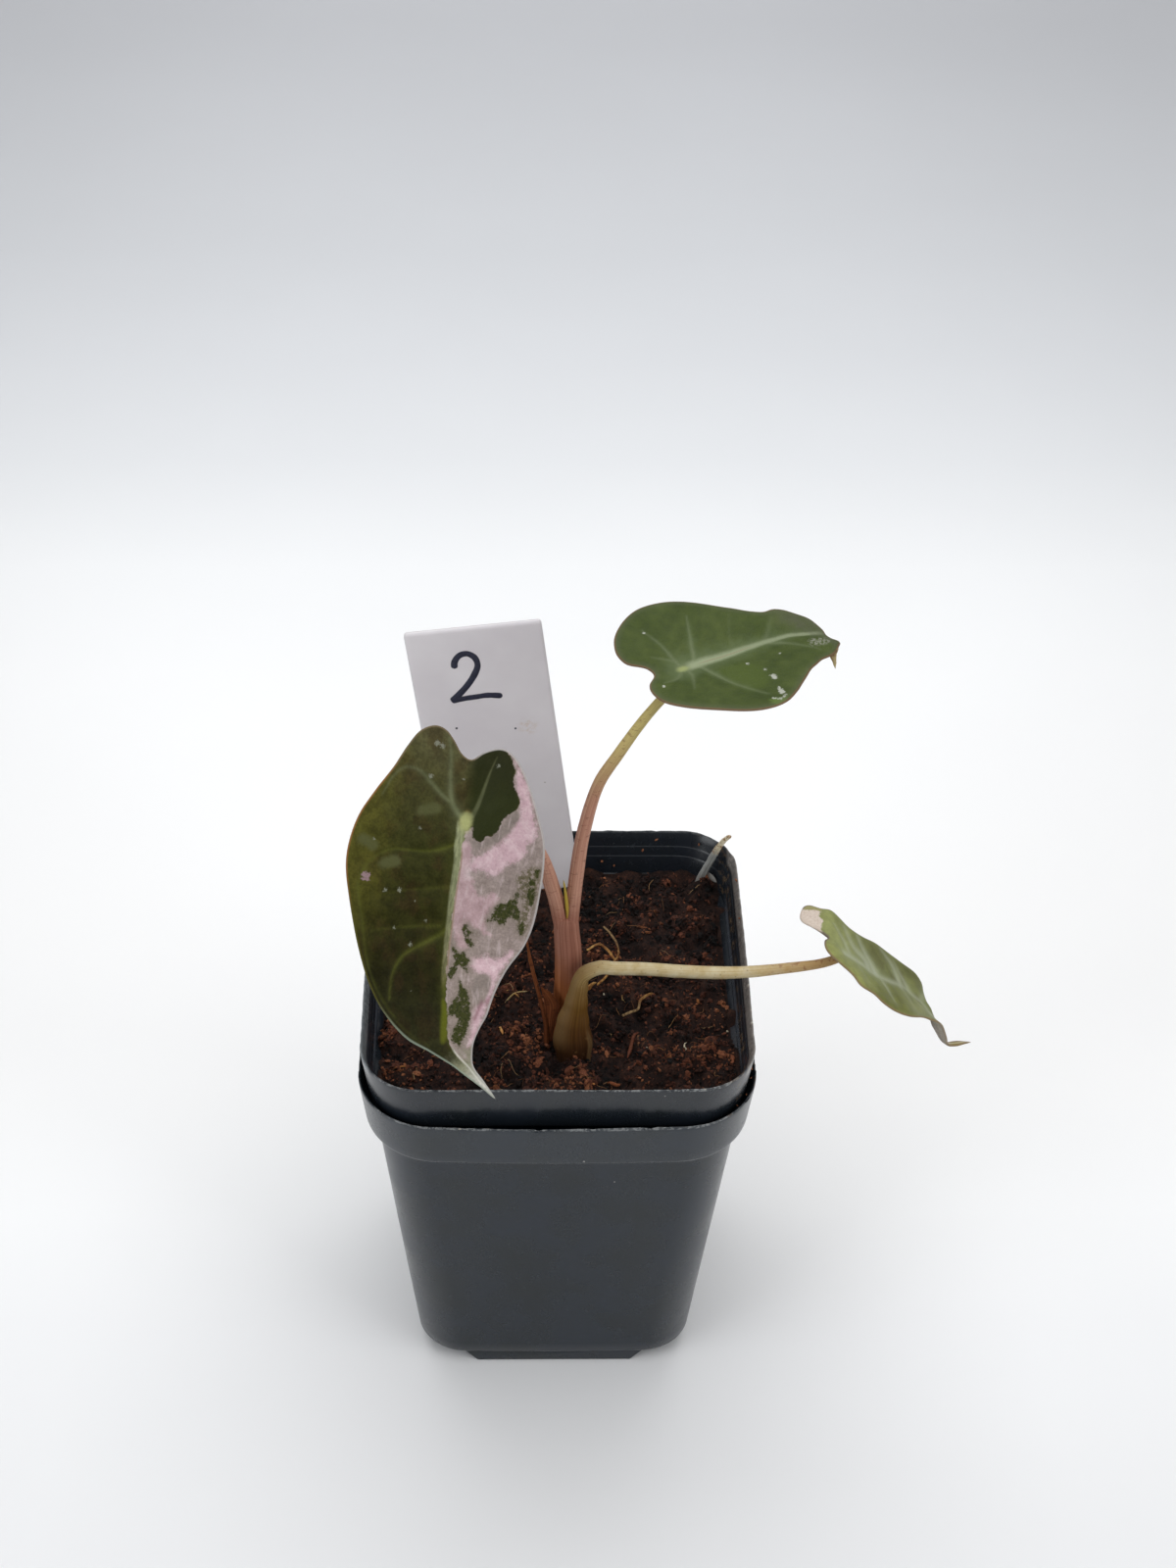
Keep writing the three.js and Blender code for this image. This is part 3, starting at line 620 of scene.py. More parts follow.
def ball(level):
    made = bmesh.new()
    bmesh.ops.create_icosphere(made, subdivisions=level, radius=1)
    points = np.array([vertex.co[:] for vertex in made.verts])
    tris = np.array([[vertex.index for vertex in face.verts] for face in made.faces])
    made.free()
    return points, tris


def crumbs(name, centres, radii, tones, level):
    """Many uneven lumps in one mesh."""
    points, tris = ball(level)
    count = len(centres)
    turn, _ = np.linalg.qr(random.normal(size=(count, 3, 3)))
    squash = random.uniform(0.3, 1.5, (count, 1, 3))
    lumps = random.uniform(0.5, 1.35, (count, len(points), 1))
    shaped = points[None] * lumps * squash * radii[:, None, None]
    shaped = np.einsum("nij,nkj->nki", turn, shaped) + centres[:, None]
    faces = tris[None] + (np.arange(count) * len(points))[:, None, None]
    flipped = np.linalg.det(turn) < 0
    faces[flipped] = faces[flipped][:, :, ::-1]
    return mesh_object(name, shaped.reshape(-1, 3), tris=faces.reshape(-1, 3),
                       fields={"tone": np.repeat(tones, len(points))}, smooth=False)


def scatter(count, gathered_share=0.5):
    """Places on the soil, this share of them gathered on its clods."""
    heaps = np.array(CLODS)
    x = random.uniform(-31.6, 31.6, count)
    y = random.uniform(-31.6, 31.6, count)
    gathered = random.random(count) < gathered_share
    pick = random.integers(0, len(heaps), count)
    spread = random.normal(0, 0.55, (count, 2)) * heaps[pick, 2:3]
    x = np.where(gathered, heaps[pick, 0] + spread[:, 0], x)
    y = np.where(gathered, heaps[pick, 1] + spread[:, 1], y)
    keep = in_pot(x, y) > 0.5
    return x[keep], y[keep]


crumb_material = crumb_look()
dress(soil_bed(), soil_look(), "soil", "soil")


def soil_tones(x, y, spread):
    """Reddish and nearly black patches a few millimetres wide."""
    slow = 0.28 * soft_noise(x, y, 4.2, 31) + 0.24 * soft_noise(x, y, 1.6, 32) + 0.28 * clump(x, y)
    return np.clip(0.445 - 0.0045 * y + slow + random.normal(0, spread, len(x)), 0, 1)


for number in range(2):
    x, y = scatter(LUMPS)
    radii = 0.24 + 0.42 * random.random(len(x)) ** 2.2
    z = rough_soil(x, y) + radii * random.uniform(-0.1, 0.7, len(x))
    keep = in_pot(x, y) > radii * 0.8
    tones = soil_tones(x, y, 0.19)
    dress(crumbs("soil_lumps_%d" % number, np.column_stack([x, y, z])[keep], radii[keep], tones[keep], 2),
          crumb_material, "soil")

# Crumbs stuck on the inner pot's wall and lying on the outer pot's rim
LOOSE = np.array([
    (28.1, 33.2, 82.6), (29.6, 33.2, 82.0), (17.2, 33.2, 81.1), (9.3, 33.2, 78.3), (19.8, 33.2, 83.8),
    (11.7, 33.2, 77.2), (34.5, 20.7, 84.1), (34.4, 9.7, 84.1), (35.0, -22.0, 76.1), (34.7, -24.5, 76.1),
    (33.6, -28.6, 76.1), (35.1, -12.0, 76.1), (35.0, -3.0, 76.1), (31.8, -31.4, 76.1), (34.9, -18.0, 76.1)])
x, y = scatter(BITS, 0.3)
radii = 0.12 + 0.26 * random.random(len(x)) ** 1.5
z = rough_soil(x, y) + radii * random.uniform(0.2, 1.8, len(x))
centres = np.vstack([np.column_stack([x, y, z]), LOOSE])
radii = np.concatenate([radii, random.uniform(0.2, 0.36, len(LOOSE))])
tones = soil_tones(centres[:, 0], centres[:, 1], 0.24)
tones[-len(LOOSE):] = 1.0
dress(crumbs("soil_bits", centres, radii, tones, 1), crumb_material, "soil")


# Stalks and long pieces

FRONT_STALK = [(3, -17.8, 66, 4.6, 3.6), (2.9, -18, 75.5, 6.2, 4.6), (2.8, -17.7, 79, 7.2, 5),
    (2.8, -17.2, 83, 5.9, 4.7), (3.3, -16.5, 86.6, 4.3, 4), (3.7, -15.8, 89.5, 3.4, 3.3),
    (4.5, -14.9, 92.2, 2.7, 3), (7.4, -14, 93.2, 2.5, 2.6), (10.1, -13.6, 92.7, 2.4, 2.5),
    (16, -12.6, 91.6, 2.4, 2.4), (21.3, -11.6, 90.2, 2.4, 2.4), (28.5, -10.4, 88.7, 2.4, 2.3),
    (34.5, -9.2, 87.8, 2.2, 2.1), (41.7, -8.4, 88, 1.95, 1.9), (47.7, -8.2, 88.9, 1.7, 1.7),
    (50.2, -8.1, 89.8, 1.65, 1.7), (51.4, -8, 90.5, 1.8, 1.8), (51.9, -8, 90.85, 2.5, 2.4)]
REAR_SHEATH = [(1.2, -11.6, 66, 4.4, 3.6), (1.2, -11.6, 76, 5.2, 4), (1.8, -11.4, 82, 5.2, 4),
    (2, -11, 88, 5, 3.9), (1.9, -10.5, 94, 4.8, 3.7), (1.5, -10, 100, 4.5, 3.3), (1.5, -9.9, 102, 3.8, 2.9)]
TOP_STALK = [(2.3, -10.2, 97, 2.4, 2.6), (2.7, -9.4, 104.8, 2.6, 2.5), (3.3, -7.9, 110.8, 2.6, 2.5),
    (4.3, -6, 117.5, 2.4, 2.3), (6.9, -3.2, 126.4, 2.1, 2.1), (10.2, -1.5, 131.5, 2, 2),
    (13.9, 1, 136.1, 1.8, 1.8), (16.6, 2.6, 139, 1.7, 1.7), (20.3, 4.7, 142.3, 1.7, 1.7),
    (21.2, 5.1, 144.2, 1.7, 1.7), (21.25, 5.05, 144.75, 2.3, 2.3)]
LEFT_STALK = [(0.9, -10.2, 97, 2.4, 2.6), (-0.3, -9.8, 105.1, 2.7, 2.4), (-1.2, -9.8, 109, 2.7, 2.4),
    (-2.2, -10, 113.2, 2.5, 2.3), (-3.5, -10.2, 117, 2.3, 2.2), (-6.5, -11, 122, 2, 2),
    (-10.5, -13, 126.3, 1.8, 1.8), (-14, -15.8, 128, 1.7, 1.7), (-15.6, -17.7, 128.6, 1.7, 1.7),
    (-15.9, -19.5, 129.9, 1.7, 1.7), (-15.9, -19.85, 130.2, 2.2, 2.2)]
NEW_SHOOT = [(1.9, -10, 98.5, 0.6, 0.7), (1.75, -10.35, 102, 0.62, 0.75), (1.4, -10.6, 106.5, 0.56, 0.65),
    (1.05, -10.65, 109.6, 0.34, 0.4), (0.85, -10.6, 110.9, 0.1, 0.1)]
DRY_STRAND = [(-1.9, -15.2, 72, 1, 0.6), (-2, -14.6, 79.4, 0.85, 0.5), (-2.5, -14, 82.4, 0.75, 0.45),
    (-3.6, -13, 87.4, 0.7, 0.4), (-4.7, -12, 92.2, 0.65, 0.4), (-5.5, -11, 96.8, 0.3, 0.25)]
DRY_FLAP = [(-1.6, -14.8, 76, 1.2, 0.4), (-1.2, -14.2, 81, 2.1, 0.3), (-1, -13.8, 84, 2.7, 0.25),
    (-1.9, -13.6, 86.2, 1.7, 0.22), (-2.9, -13.4, 88, 0.35, 0.2)]
WITHERED_STRIP = [(27.2, 28.2, 72.5, 1.6, 0.7), (28.3, 29, 76.8, 1.6, 0.7), (30.1, 28, 82.9, 1.4, 0.7),
    (31.9, 26, 89, 1.1, 0.6), (33.3, 25, 91.6, 0.8, 0.6)]
# A scrap of thin film at the strip's foot
FILM = [(28.9, 29.4, 78.2, 0.5, 0.12), (29.7, 29.1, 78.3, 1.4, 0.1), (30.6, 28.6, 77.9, 1.2, 0.1),
    (31.5, 28, 77.3, 0.4, 0.1)]
ROOT_WIDTHS = {"root_long": 0.38, "root_curled": 0.42, "root_front": 0.44}
ROOTS = {
    "root_long": [(9.3, 16.7), (10.5, 14.5), (11.7, 11.1), (11.9, 8.9), (11.0, 6.2), (9.3, 2.1), (7.6, -0.1)],
    "root_curled": [(5.9, 8.4), (8.2, 9.7), (9.6, 9.2), (11.2, 7.0)],
    "root_front": [(12.1, -8.3), (13.6, -7.2), (15.0, -6.5), (15.6, -4.6), (16.8, -3.6), (17.9, -3.0)],
}


def stem(sections, sides, rings, relief=None):
    """Points, faces and fields of a tapering body; relief moves its skin in and out."""
    sections = np.asarray(sections, float)
    centres = path_points(sections[:, :3], rings)
    place = np.linspace(0, len(sections) - 1, rings)
    index = np.minimum(place.astype(int), len(sections) - 2)
    share = smoothstep(place - index, 0, 1)[:, None]
    size = sections[index, 3:] * (1 - share) + sections[index + 1, 3:] * share
    tangent = unit(np.gradient(centres, axis=0))
    deep = unit(np.array([0, 1, 0]) - tangent * tangent[:, 1:2])
    wide = np.cross(deep, tangent)
    along = distances(centres)
    angle = np.linspace(0, 2 * math.pi, sides, endpoint=False)
    # Its end is rounded off
    shrink = np.sqrt(np.clip(1 - (1 - smoothstep(along[-1] - along, -0.01, 0.5)) ** 2, 0.02, 1))
    u, v = np.meshgrid(along, angle, indexing="ij")
    push = relief(u, v, centres) if relief else np.zeros_like(u)
    half_wide, half_deep = ((size[:, k:k + 1] / 2) * shrink[:, None] + push for k in (0, 1))
    points = (centres[:, None] + wide[:, None] * (half_wide * np.cos(v))[..., None]
              + deep[:, None] * (half_deep * np.sin(v))[..., None]).reshape(-1, 3)
    around = np.stack([np.cos(v), np.sin(v), u * 0.02], -1).reshape(-1, 3)
    fields = {"along": np.concatenate([u.ravel(), [0, along[-1]]]),
              "around": np.concatenate([around, np.zeros((2, 3))]),
              "skin": np.concatenate([push.ravel(), [0, 0]])}
    return np.vstack([points, centres[:1], centres[-1:]]), *loft_faces(rings, sides), fields


def joined(name, *parts):
    """One object of several bodies with the same fields."""
    points, quads, tris, fields, shift = [], [], [], {}, 0
    for part_points, part_quads, part_tris, part_fields in parts:
        points.append(part_points)
        quads.append(part_quads + shift)
        tris.append(part_tris + shift)
        for key, values in part_fields.items():
            fields.setdefault(key, []).append(values)
        shift += len(part_points)
    return mesh_object(name, np.vstack(points), np.vstack(quads), np.vstack(tris),
                       {key: np.concatenate(values) for key, values in fields.items()})


def striated(amount, count, seed):
    """Fine lengthwise ridges round a stalk."""
    rng = np.random.default_rng(seed)
    phase = rng.uniform(0, 2 * math.pi, 3)

    def relief(u, v, centres):
        ridges = np.sin(count * v + phase[0] + 0.15 * np.sin(0.3 * u))
        ridges = ridges + 0.6 * np.sin(1.7 * count * v + phase[1]) * np.sin(0.05 * u + 1)
        lumps = 0.5 * np.sin(0.8 * u + 2 * v + phase[2]) + 0.4 * np.sin(1.9 * u - v)
        return amount * (ridges + lumps)
    return relief


def ridge(v, angle, width):
    """1 on a line along a stalk at this angle, falling off to its sides."""
    return bell(np.angle(np.exp(1j * (v + angle))), width)


def front_relief(u, v, centres):
    base = striated(0.005, 34, 1)(u, v, centres)
    z = centres[:, 2][:, None]
    turn = 0.012 * (z - 76)
    # The open margin of the sheath stands out along its right side, wider low down
    base = base + 0.5 * ridge(v, 0.55 + turn, 0.22) * (1 - smoothstep(z, 78.5, 86)) * (u < 26)
    return base - 0.22 * ridge(v, 0.95 + turn, 0.12) * (1 - smoothstep(z, 80, 90)) * (u < 26)


def rear_relief(u, v, centres):
    return striated(0.010, 26, 2)(u, v, centres) - 0.1 * ridge(v, 1.2, 0.1)


def streaks(look, around, along=1.2):
    """Thin lengthwise streaks of a stalk's skin."""
    return look.noise(1, 4, 0.6, look.flat("around").stretched((around, around, along)))


def skin_finish(look, streak, cloud, low=0.46, high=0.6):
    look.set(roughness=cloud.step(0.3, 0.7, low, high))
    look.relief(streak + look.noise(5, 2) * 0.3, 0.09, 0.6)


def tan_look():
    look = Look("front_stalk", specular_ior_level=0.15)
    along = look.field("along")
    streak, cloud = streaks(look, 10), look.noise(0.45, 4, 0.6)
    # Nearly black at the soil, brown up the sheath, tan from the kink on
    rising = along + look.swing(0.5, 3) * 2.5 + streak * 3
    sheath = rising.step(7.5, 31.5, kind="LINEAR").ramp(
        (0, (0.015, 0.007, 0.0035)), (0.22, (0.04, 0.016, 0.006)), (0.42, (0.088, 0.037, 0.01)),
        (0.62, (0.13, 0.062, 0.011)), (0.8, (0.2, 0.118, 0.036)), (1, (0.4, 0.3, 0.13)))
    sheath = sheath.scaled(streaks(look, 30, 0.8).step(0.36, 0.62, 0.78, 1.2))
    stalk = (streak * 0.5 + cloud * 0.5).ramp(
        (0.36, (0.47, 0.34, 0.15)), (0.5, (0.58, 0.475, 0.27)), (0.64, (0.66, 0.59, 0.4)))
    colour = sheath.mixed(along.step(26.5, 32), stalk)
    blotch = look.noise(0.75, 3, 0.6).step(0.6, 0.72)
    colour = colour.mixed(blotch * 0.3, (0.26, 0.15, 0.055))
    colour = colour.mixed(along.step(54, 72, 0, 0.72), (0.35, 0.185, 0.05))
    stain = look.noise(0.9, 3, 0.6).step(0.54, 0.62) * along.step(54, 66)
    colour = colour.mixed(stain * 0.6, (0.22, 0.075, 0.03))
    # Its left side is paler, and its open margin papery
    left = look.axes(look.flat("around"))[0].step(0.1, -0.8) * along.step(11, 16)
    colour = colour.mixed(left * along.step(34, 26, 0, 0.55), (0.23, 0.142, 0.058))
    margin = look.field("skin").step(0.12, 0.34) * along.step(22, 12)
    colour = colour.mixed(margin * 0.7, look.mix(streak, (0.07, 0.03, 0.01), (0.26, 0.17, 0.075)))
    colour = colour.mixed(look.specks(1.4, 0.24, 0.2) * 0.45, (0.12, 0.05, 0.02))
    look.set(base_color=colour)
    skin_finish(look, streak, cloud)
    return look


def rose_look():
    look = Look("rear_stalks", specular_ior_level=0.25)
    streak, cloud = streaks(look, 11), look.noise(0.6, 3)
    x, _, z = look.axes(look.place)
    skin = streak.ramp((0.32, (0.31, 0.12, 0.075)), (0.5, (0.47, 0.24, 0.165)), (0.68, (0.58, 0.34, 0.24)))
    sheath = streak.ramp((0.32, (0.2, 0.07, 0.044)), (0.5, (0.32, 0.135, 0.088)), (0.68, (0.42, 0.2, 0.14)))
    skin = sheath.mixed((z + cloud * 4).step(103.5, 109.5), skin)
    low = (z + x * 1.2 + look.swing(0.4, 3) * 5).step(86, 98)
    skin = look.mix(low, streak.ramp((0.3, (0.21, 0.06, 0.015)), (0.7, (0.43, 0.155, 0.055))), skin)
    tan = (z + look.swing(0.5, 2) * 3).step(121, 137)
    skin = skin.mixed(tan, streak.ramp((0.3, (0.37, 0.28, 0.09)), (0.7, (0.54, 0.46, 0.18))))
    # Short dark dashes across the upper stalks
    dash = look.noise(1, 2, 0.5, look.place.stretched((0.7, 0.7, 3.2))).step(0.6, 0.68)
    skin = skin.mixed(dash * z.step(97, 106, 0.1, 0.45), (0.12, 0.035, 0.02))
    look.set(base_color=skin)
    skin_finish(look, streak, cloud)
    return look


def shoot_look():
    look = Look("new_shoot", specular_ior_level=0.3)
    streak = streaks(look, 8, 1)
    look.set(base_color=look.mix(look.field("along").step(1, 8),
                                 streak.ramp((0.3, (0.36, 0.19, 0.035)), (0.7, (0.5, 0.31, 0.06))),
                                 streak.ramp((0.3, (0.38, 0.26, 0.025)), (0.7, (0.56, 0.42, 0.065)))))
    skin_finish(look, streak, streak)
    return look


def dry_look():
    look = Look("dry_sheath", roughness=0.75, specular_ior_level=0.2)
    streak = streaks(look, 5, 2)
    colour = streak.ramp((0.3, (0.07, 0.018, 0.006)), (0.5, (0.21, 0.06, 0.02)), (0.72, (0.42, 0.16, 0.05)))
    look.set(base_color=colour.mixed(look.noise(1.2, 3).step(0.55, 0.7) * 0.6, (0.05, 0.014, 0.007)))
    look.relief(streak, 0.3, 0.9)
    return look


def strip_look():
    look = Look("withered_strip", roughness=0.45, specular_ior_level=0.3)
    streak = streaks(look, 6, 1)
    along = look.field("along") + look.swing(0.6, 3) * 3
    colour = streak.ramp((0.3, (0.19, 0.195, 0.18)), (0.7, (0.46, 0.47, 0.455)))
    colour = look.mix(along.step(5, 9), colour.mixed(0.45, (0.1, 0.075, 0.06)), colour)
    colour = colour.mixed(along.step(13, 16), streak.ramp((0.3, (0.6, 0.5, 0.3)), (0.7, (0.84, 0.79, 0.62))))
    tatter = look.field("along").step(13.5, 14.5) * look.noise(1.3, 3).step(0.5, 0.56)
    look.set(base_color=colour.mixed(tatter * 0.8, (0.28, 0.13, 0.04)).scaled(1.35))
    look.relief(streak, 0.2, 0.8)
    return look


def root_look():
    look = Look("root", roughness=0.75, specular_ior_level=0.2)
    cloud = look.noise(1.3, 4, 0.65)
    pale = cloud.ramp((0.3, (0.08, 0.04, 0.018)), (0.48, (0.22, 0.14, 0.065)), (0.65, (0.42, 0.28, 0.13)))
    # Brown towards the inner end, and orange where the long root breaks off
    aged = pale.mixed(look.field("along").step(2.5, 6.5, 0, 0.75), (0.1, 0.045, 0.02))
    x, y, _ = look.axes(look.place)
    broken = (y + cloud * 2).step(13, 9) * y.step(-6, -4)
    orange = cloud.ramp((0.3, (0.16, 0.055, 0.018)), (0.5, (0.34, 0.15, 0.04)), (0.65, (0.55, 0.33, 0.11)))
    look.set(base_color=aged.mixed(broken * x.step(11.4, 10.2, 0.55, 0.95), orange))
    look.relief(look.noise(3.5, 4, 0.7), 0.2, 0.9)
    return look


dress(joined("stalk_front", stem(FRONT_STALK, 84, 220, front_relief)), tan_look(), "front_stalk",
      "front_stalk")
dress(joined("stalks_rear", stem(REAR_SHEATH, 76, 100, rear_relief),
             stem(TOP_STALK, 48, 136, striated(0.012, 14, 4)),
             stem(LEFT_STALK, 48, 136, striated(0.012, 14, 5))), rose_look(), "rear_stalks", "rear_stalks")
dress(joined("shoot", stem(NEW_SHOOT, 32, 60, striated(0.012, 8, 6))), shoot_look(), "new_shoot", "new_shoot")
dress(joined("dry_sheath_skin", stem(DRY_STRAND, 28, 90, striated(0.05, 6, 7)),
             stem(DRY_FLAP, 36, 60, striated(0.06, 5, 8))), dry_look(), "dry_sheath", "dry_sheath")
dress(joined("strip", stem(WITHERED_STRIP, 28, 80, striated(0.05, 5, 9)), stem(FILM, 16, 24)), strip_look(),
      "withered_strip", "withered_strip")
root_material = root_look()
# A broken scrap of the long root lies in line with it
ROOT_CHIP = [(7.4, -0.9, 77.5, 0.3, 0.25), (6.8, -1.6, 77.8, 0.9, 0.5), (6.2, -2.3, 77.8, 1.0, 0.5),
             (5.6, -2.9, 77.4, 0.3, 0.25)]
for number, (node, route) in enumerate(ROOTS.items()):
    x, y = np.array(route, float).T
    z = np.maximum(soil_height(x, y) + 0.9, rough_soil(x, y) + 0.35)
    parts = [stem(np.column_stack([x, y, z, np.full((len(x), 2), ROOT_WIDTHS[node])]), 20, 70,
                  striated(0.04, 3, 12 + number))]
    if node == "root_long":
        parts.append(stem(ROOT_CHIP, 16, 24, striated(0.05, 3, 16)))
    dress(joined(node + "_skin", *parts), root_material, "root", node)


# Leaves

LEFT_LEAF = dict(
    at=(-15.9, -20, 130.3), tip=(-0.18, -0.613, -0.763), up=(-0.05, -0.779, 0.626),
    reach=(-18, 50), bends=[(0, 45, -6)], turns=[(14, 30, -13), (31, 41, -40)], twists=[],
    folds=(12, 12), curls=(0, 0), droop=0, flat_from=60,
    outline=[
        (48.5, 0), (45.5, 0.5), (42.5, 1.1), (39, 1.9), (36.4, 3.6), (34, 6.9), (31.5, 9.5), (27, 12),
        (23, 13.7), (19, 15.4), (14.5, 17.2), (9.6, 18.6), (5.8, 18.8), (1, 18), (-3.6, 16), (-8, 13.7),
        (-12, 12), (-14.8, 10.3), (-16, 8), (-15.6, 6.2), (-14.3, 4.7), (-12, 2.7), (-11.4, 1.1), (-13, -0.8),
        (-14.1, -3.4), (-13.9, -5.1), (-12, -7.4), (-8.5, -9.8), (-4.3, -12), (0, -13.9), (4, -14.6),
        (8.7, -14.8), (14, -14.6), (18.7, -13.5), (23.5, -11.2), (29.5, -8.5), (34, -6.8), (37, -5.4),
        (40, -2.6), (42, -1), (45, -0.6)])
TOP_LEAF = dict(
    at=(21.2, 5, 144.9), tip=(0.94, 0.339, 0.05), up=(0, -0.139, 0.99),
    reach=(-12, 40), bends=[(0, 24, 4), (27.5, 32.5, 92)], turns=[(3, 15, -9), (17, 27, 17)],
    twists=[], folds=(9, 7), curls=(0, 0), droop=0, flat_from=22,
    outline=[
        (29.7, 2.6), (29.1, 3.8), (27.9, 5.5), (26.4, 6.6), (24.6, 7.5), (22.5, 8.7), (19, 10.1),
        (15.3, 12.7), (13.6, 14), (10.5, 15.9), (7.4, 15.9), (1.4, 13), (-3.8, 9.8), (-6.5, 7), (-7.3, 3.8),
        (-6.8, 1.6), (-5.2, -0.4), (-5.8, -2.2), (-8.8, -4.3), (-9.6, -6.6), (-9.3, -8.8), (-8.4, -10.8),
        (-5.7, -13.6), (-2.5, -15.3), (1.5, -15.6), (5.5, -14.8), (10.2, -13), (14.7, -10.3), (17.9, -8),
        (19.8, -7), (21.1, -7.1), (22.4, -6.5), (23.9, -5.3), (25.5, -4.1), (26.2, -3.3), (26.9, -2),
        (27.5, -0.6), (27.7, 0.7), (28.6, 1.9)])
# The top leaf's dried tip hooks down from the blade's last corner
TOP_TIP = [(47.9, 11.4, 145, 1.5, 0.5), (47.75, 11.2, 143.7, 1.25, 0.4), (48.1, 11.1, 142.2, 0.7, 0.35),
    (48.32, 11.1, 140.81, 0.1, 0.1)]
RIGHT_LEAF = dict(
    at=(52, -8, 90.8), tip=(0.74, 0, -0.67), up=(0.67, 0, 0.743),
    reach=(-14, 40), bends=[(22, 26, 24), (30.4, 32, -80)], turns=[(2, 13, -9), (15, 23, 16)],
    twists=[(23, 27, 50), (30.4, 32.4, -60)], folds=(12, 8), curls=(-0.02, 0), droop=50, flat_from=18,
    outline=[
        (35.8, 0), (34.6, 0.3), (33.4, 0.6), (32.4, 0.6), (31.5, 0.6), (30.9, 0.62), (30, 0.95), (28.5, 1.2),
        (25.5, 1.6), (23.4, 2.2), (18.1, 5.5), (12.8, 7.5), (9.6, 7.9), (7.5, 7.5), (6, 6.7), (2.5, 6.9),
        (0.9, 5.3), (-1.9, 4.4), (-3.8, 3.3), (-4.6, 1.9), (-4.8, 0.6), (-4.6, -1), (-3.9, -1.8),
        (-5.2, -2.6), (-8.6, -4.3), (-9, -5.4), (-8.7, -7), (-8.1, -8.2), (-7.3, -8.6), (-5.4, -8.4),
        (-3.3, -9), (-1.4, -8.4), (1.1, -7.7), (4.5, -7.8), (9.2, -8.4), (13.5, -7.9), (17.1, -7.4),
        (19.7, -7.2), (21.1, -6.1), (21.7, -3.8), (22.7, -2), (25.2, -1.6), (28.5, -1.1), (30, -0.9),
        (30.9, -0.6), (31.5, -0.55), (32.4, -0.55), (33.4, -0.55), (34.6, -0.3)])

# Veins: strength, half-width in mm, then their route on the flat blade
LEFT_VEINS = [
    (1, 0.55, [(0, 0), (2.2, 0), (10.5, -0.4), (16.3, -0.5), (23.2, -0.5), (30.5, -0.3), (36, -0.3),
        (48, 0)]),
    (0.9, 0.42, [(0, 0), (-1.2, 0.2), (-2.3, 1.8), (-4.1, 3.1), (-7.8, 4), (-11.6, 4.6), (-14.5, 5.4)]),
    (0.65, 0.28, [(-3.8, 3), (-4.5, 4.5), (-6.5, 7.1), (-8.1, 9.3), (-8.3, 11.6), (-6.8, 13.3), (-3, 14.8)]),
    (0.75, 0.4, [(-0.6, -0.3), (-1.5, -0.6), (-3.9, -1.4), (-6.4, -1.9), (-9.7, -2.5), (-12.6, -3.2)]),
    (0.75, 0.28, [(1.2, 0), (2.3, 0.5), (3.6, 2.2), (4.9, 5.4), (5.3, 8.8), (5.7, 11.7), (7.1, 13.9),
        (8.9, 15.2)]),
    (0.8, 0.3, [(16.6, -0.3), (17.5, 0.1), (19.2, 2.3), (20.6, 4.6), (22.2, 6.9), (24.2, 8.2), (26.5, 8.8),
        (28.7, 9)]),
    (0.3, 0.25, [(10, 0), (11, 4), (12, 8), (13.5, 12)]),
    (0.4, 0.24, [(16.9, 1.2), (17.4, 4.6), (18.2, 8.8), (19, 12.6)]),
    (0.4, 0.22, [(8.9, 15.4), (12.5, 16), (17.6, 14.3), (21.8, 13.2), (24.8, 12.1), (29.1, 9.9), (33, 7),
        (35.6, 3.4)]),
    (0.3, 0.25, [(4, -0.4), (5.6, -0.9), (7.8, -4.6), (9.4, -9), (10.6, -13.3)]),
    (0.3, 0.25, [(15, -0.6), (16.3, -1.2), (20.8, -5.8), (22.8, -8.9)])]
TOP_VEINS = [
    (1, 0.75, [(0, -0.2), (4.7, -0.6), (12.3, -0.8), (21, -0.4), (27, 0.3)]),
    (0.75, 0.34, [(1.8, -0.6), (2.7, -1.8), (3.5, -4.7), (4.4, -8), (5.3, -11.2)]),
    (0.6, 0.34, [(0, -0.4), (-0.6, -2.5), (-1.5, -6.3), (-3.5, -10.5)]),
    (0.5, 0.34, [(0, -0.4), (-0.7, -2.2), (-4.2, -4.4)]),
    (0.5, 0.4, [(0, 0), (-1.9, 2), (-4.4, 2.3)]),
    (0.55, 0.36, [(0.4, 0), (0.9, 1.9), (-0.3, 6)]),
    (0.65, 0.34, [(3, 0), (4.3, 2.9), (5.9, 6.4), (7.9, 9.9), (9.5, 12.4)]),
    (0.5, 0.36, [(14.5, -0.6), (15.9, -0.8), (17.8, -2.3), (20.3, -5.6)]),
    (0.5, 0.34, [(17, 0), (18.7, 0.7), (22.3, 3.1), (25.4, 4.7)]),
    (0.2, 0.3, [(10, 0), (11.5, -5), (14, -9)])]
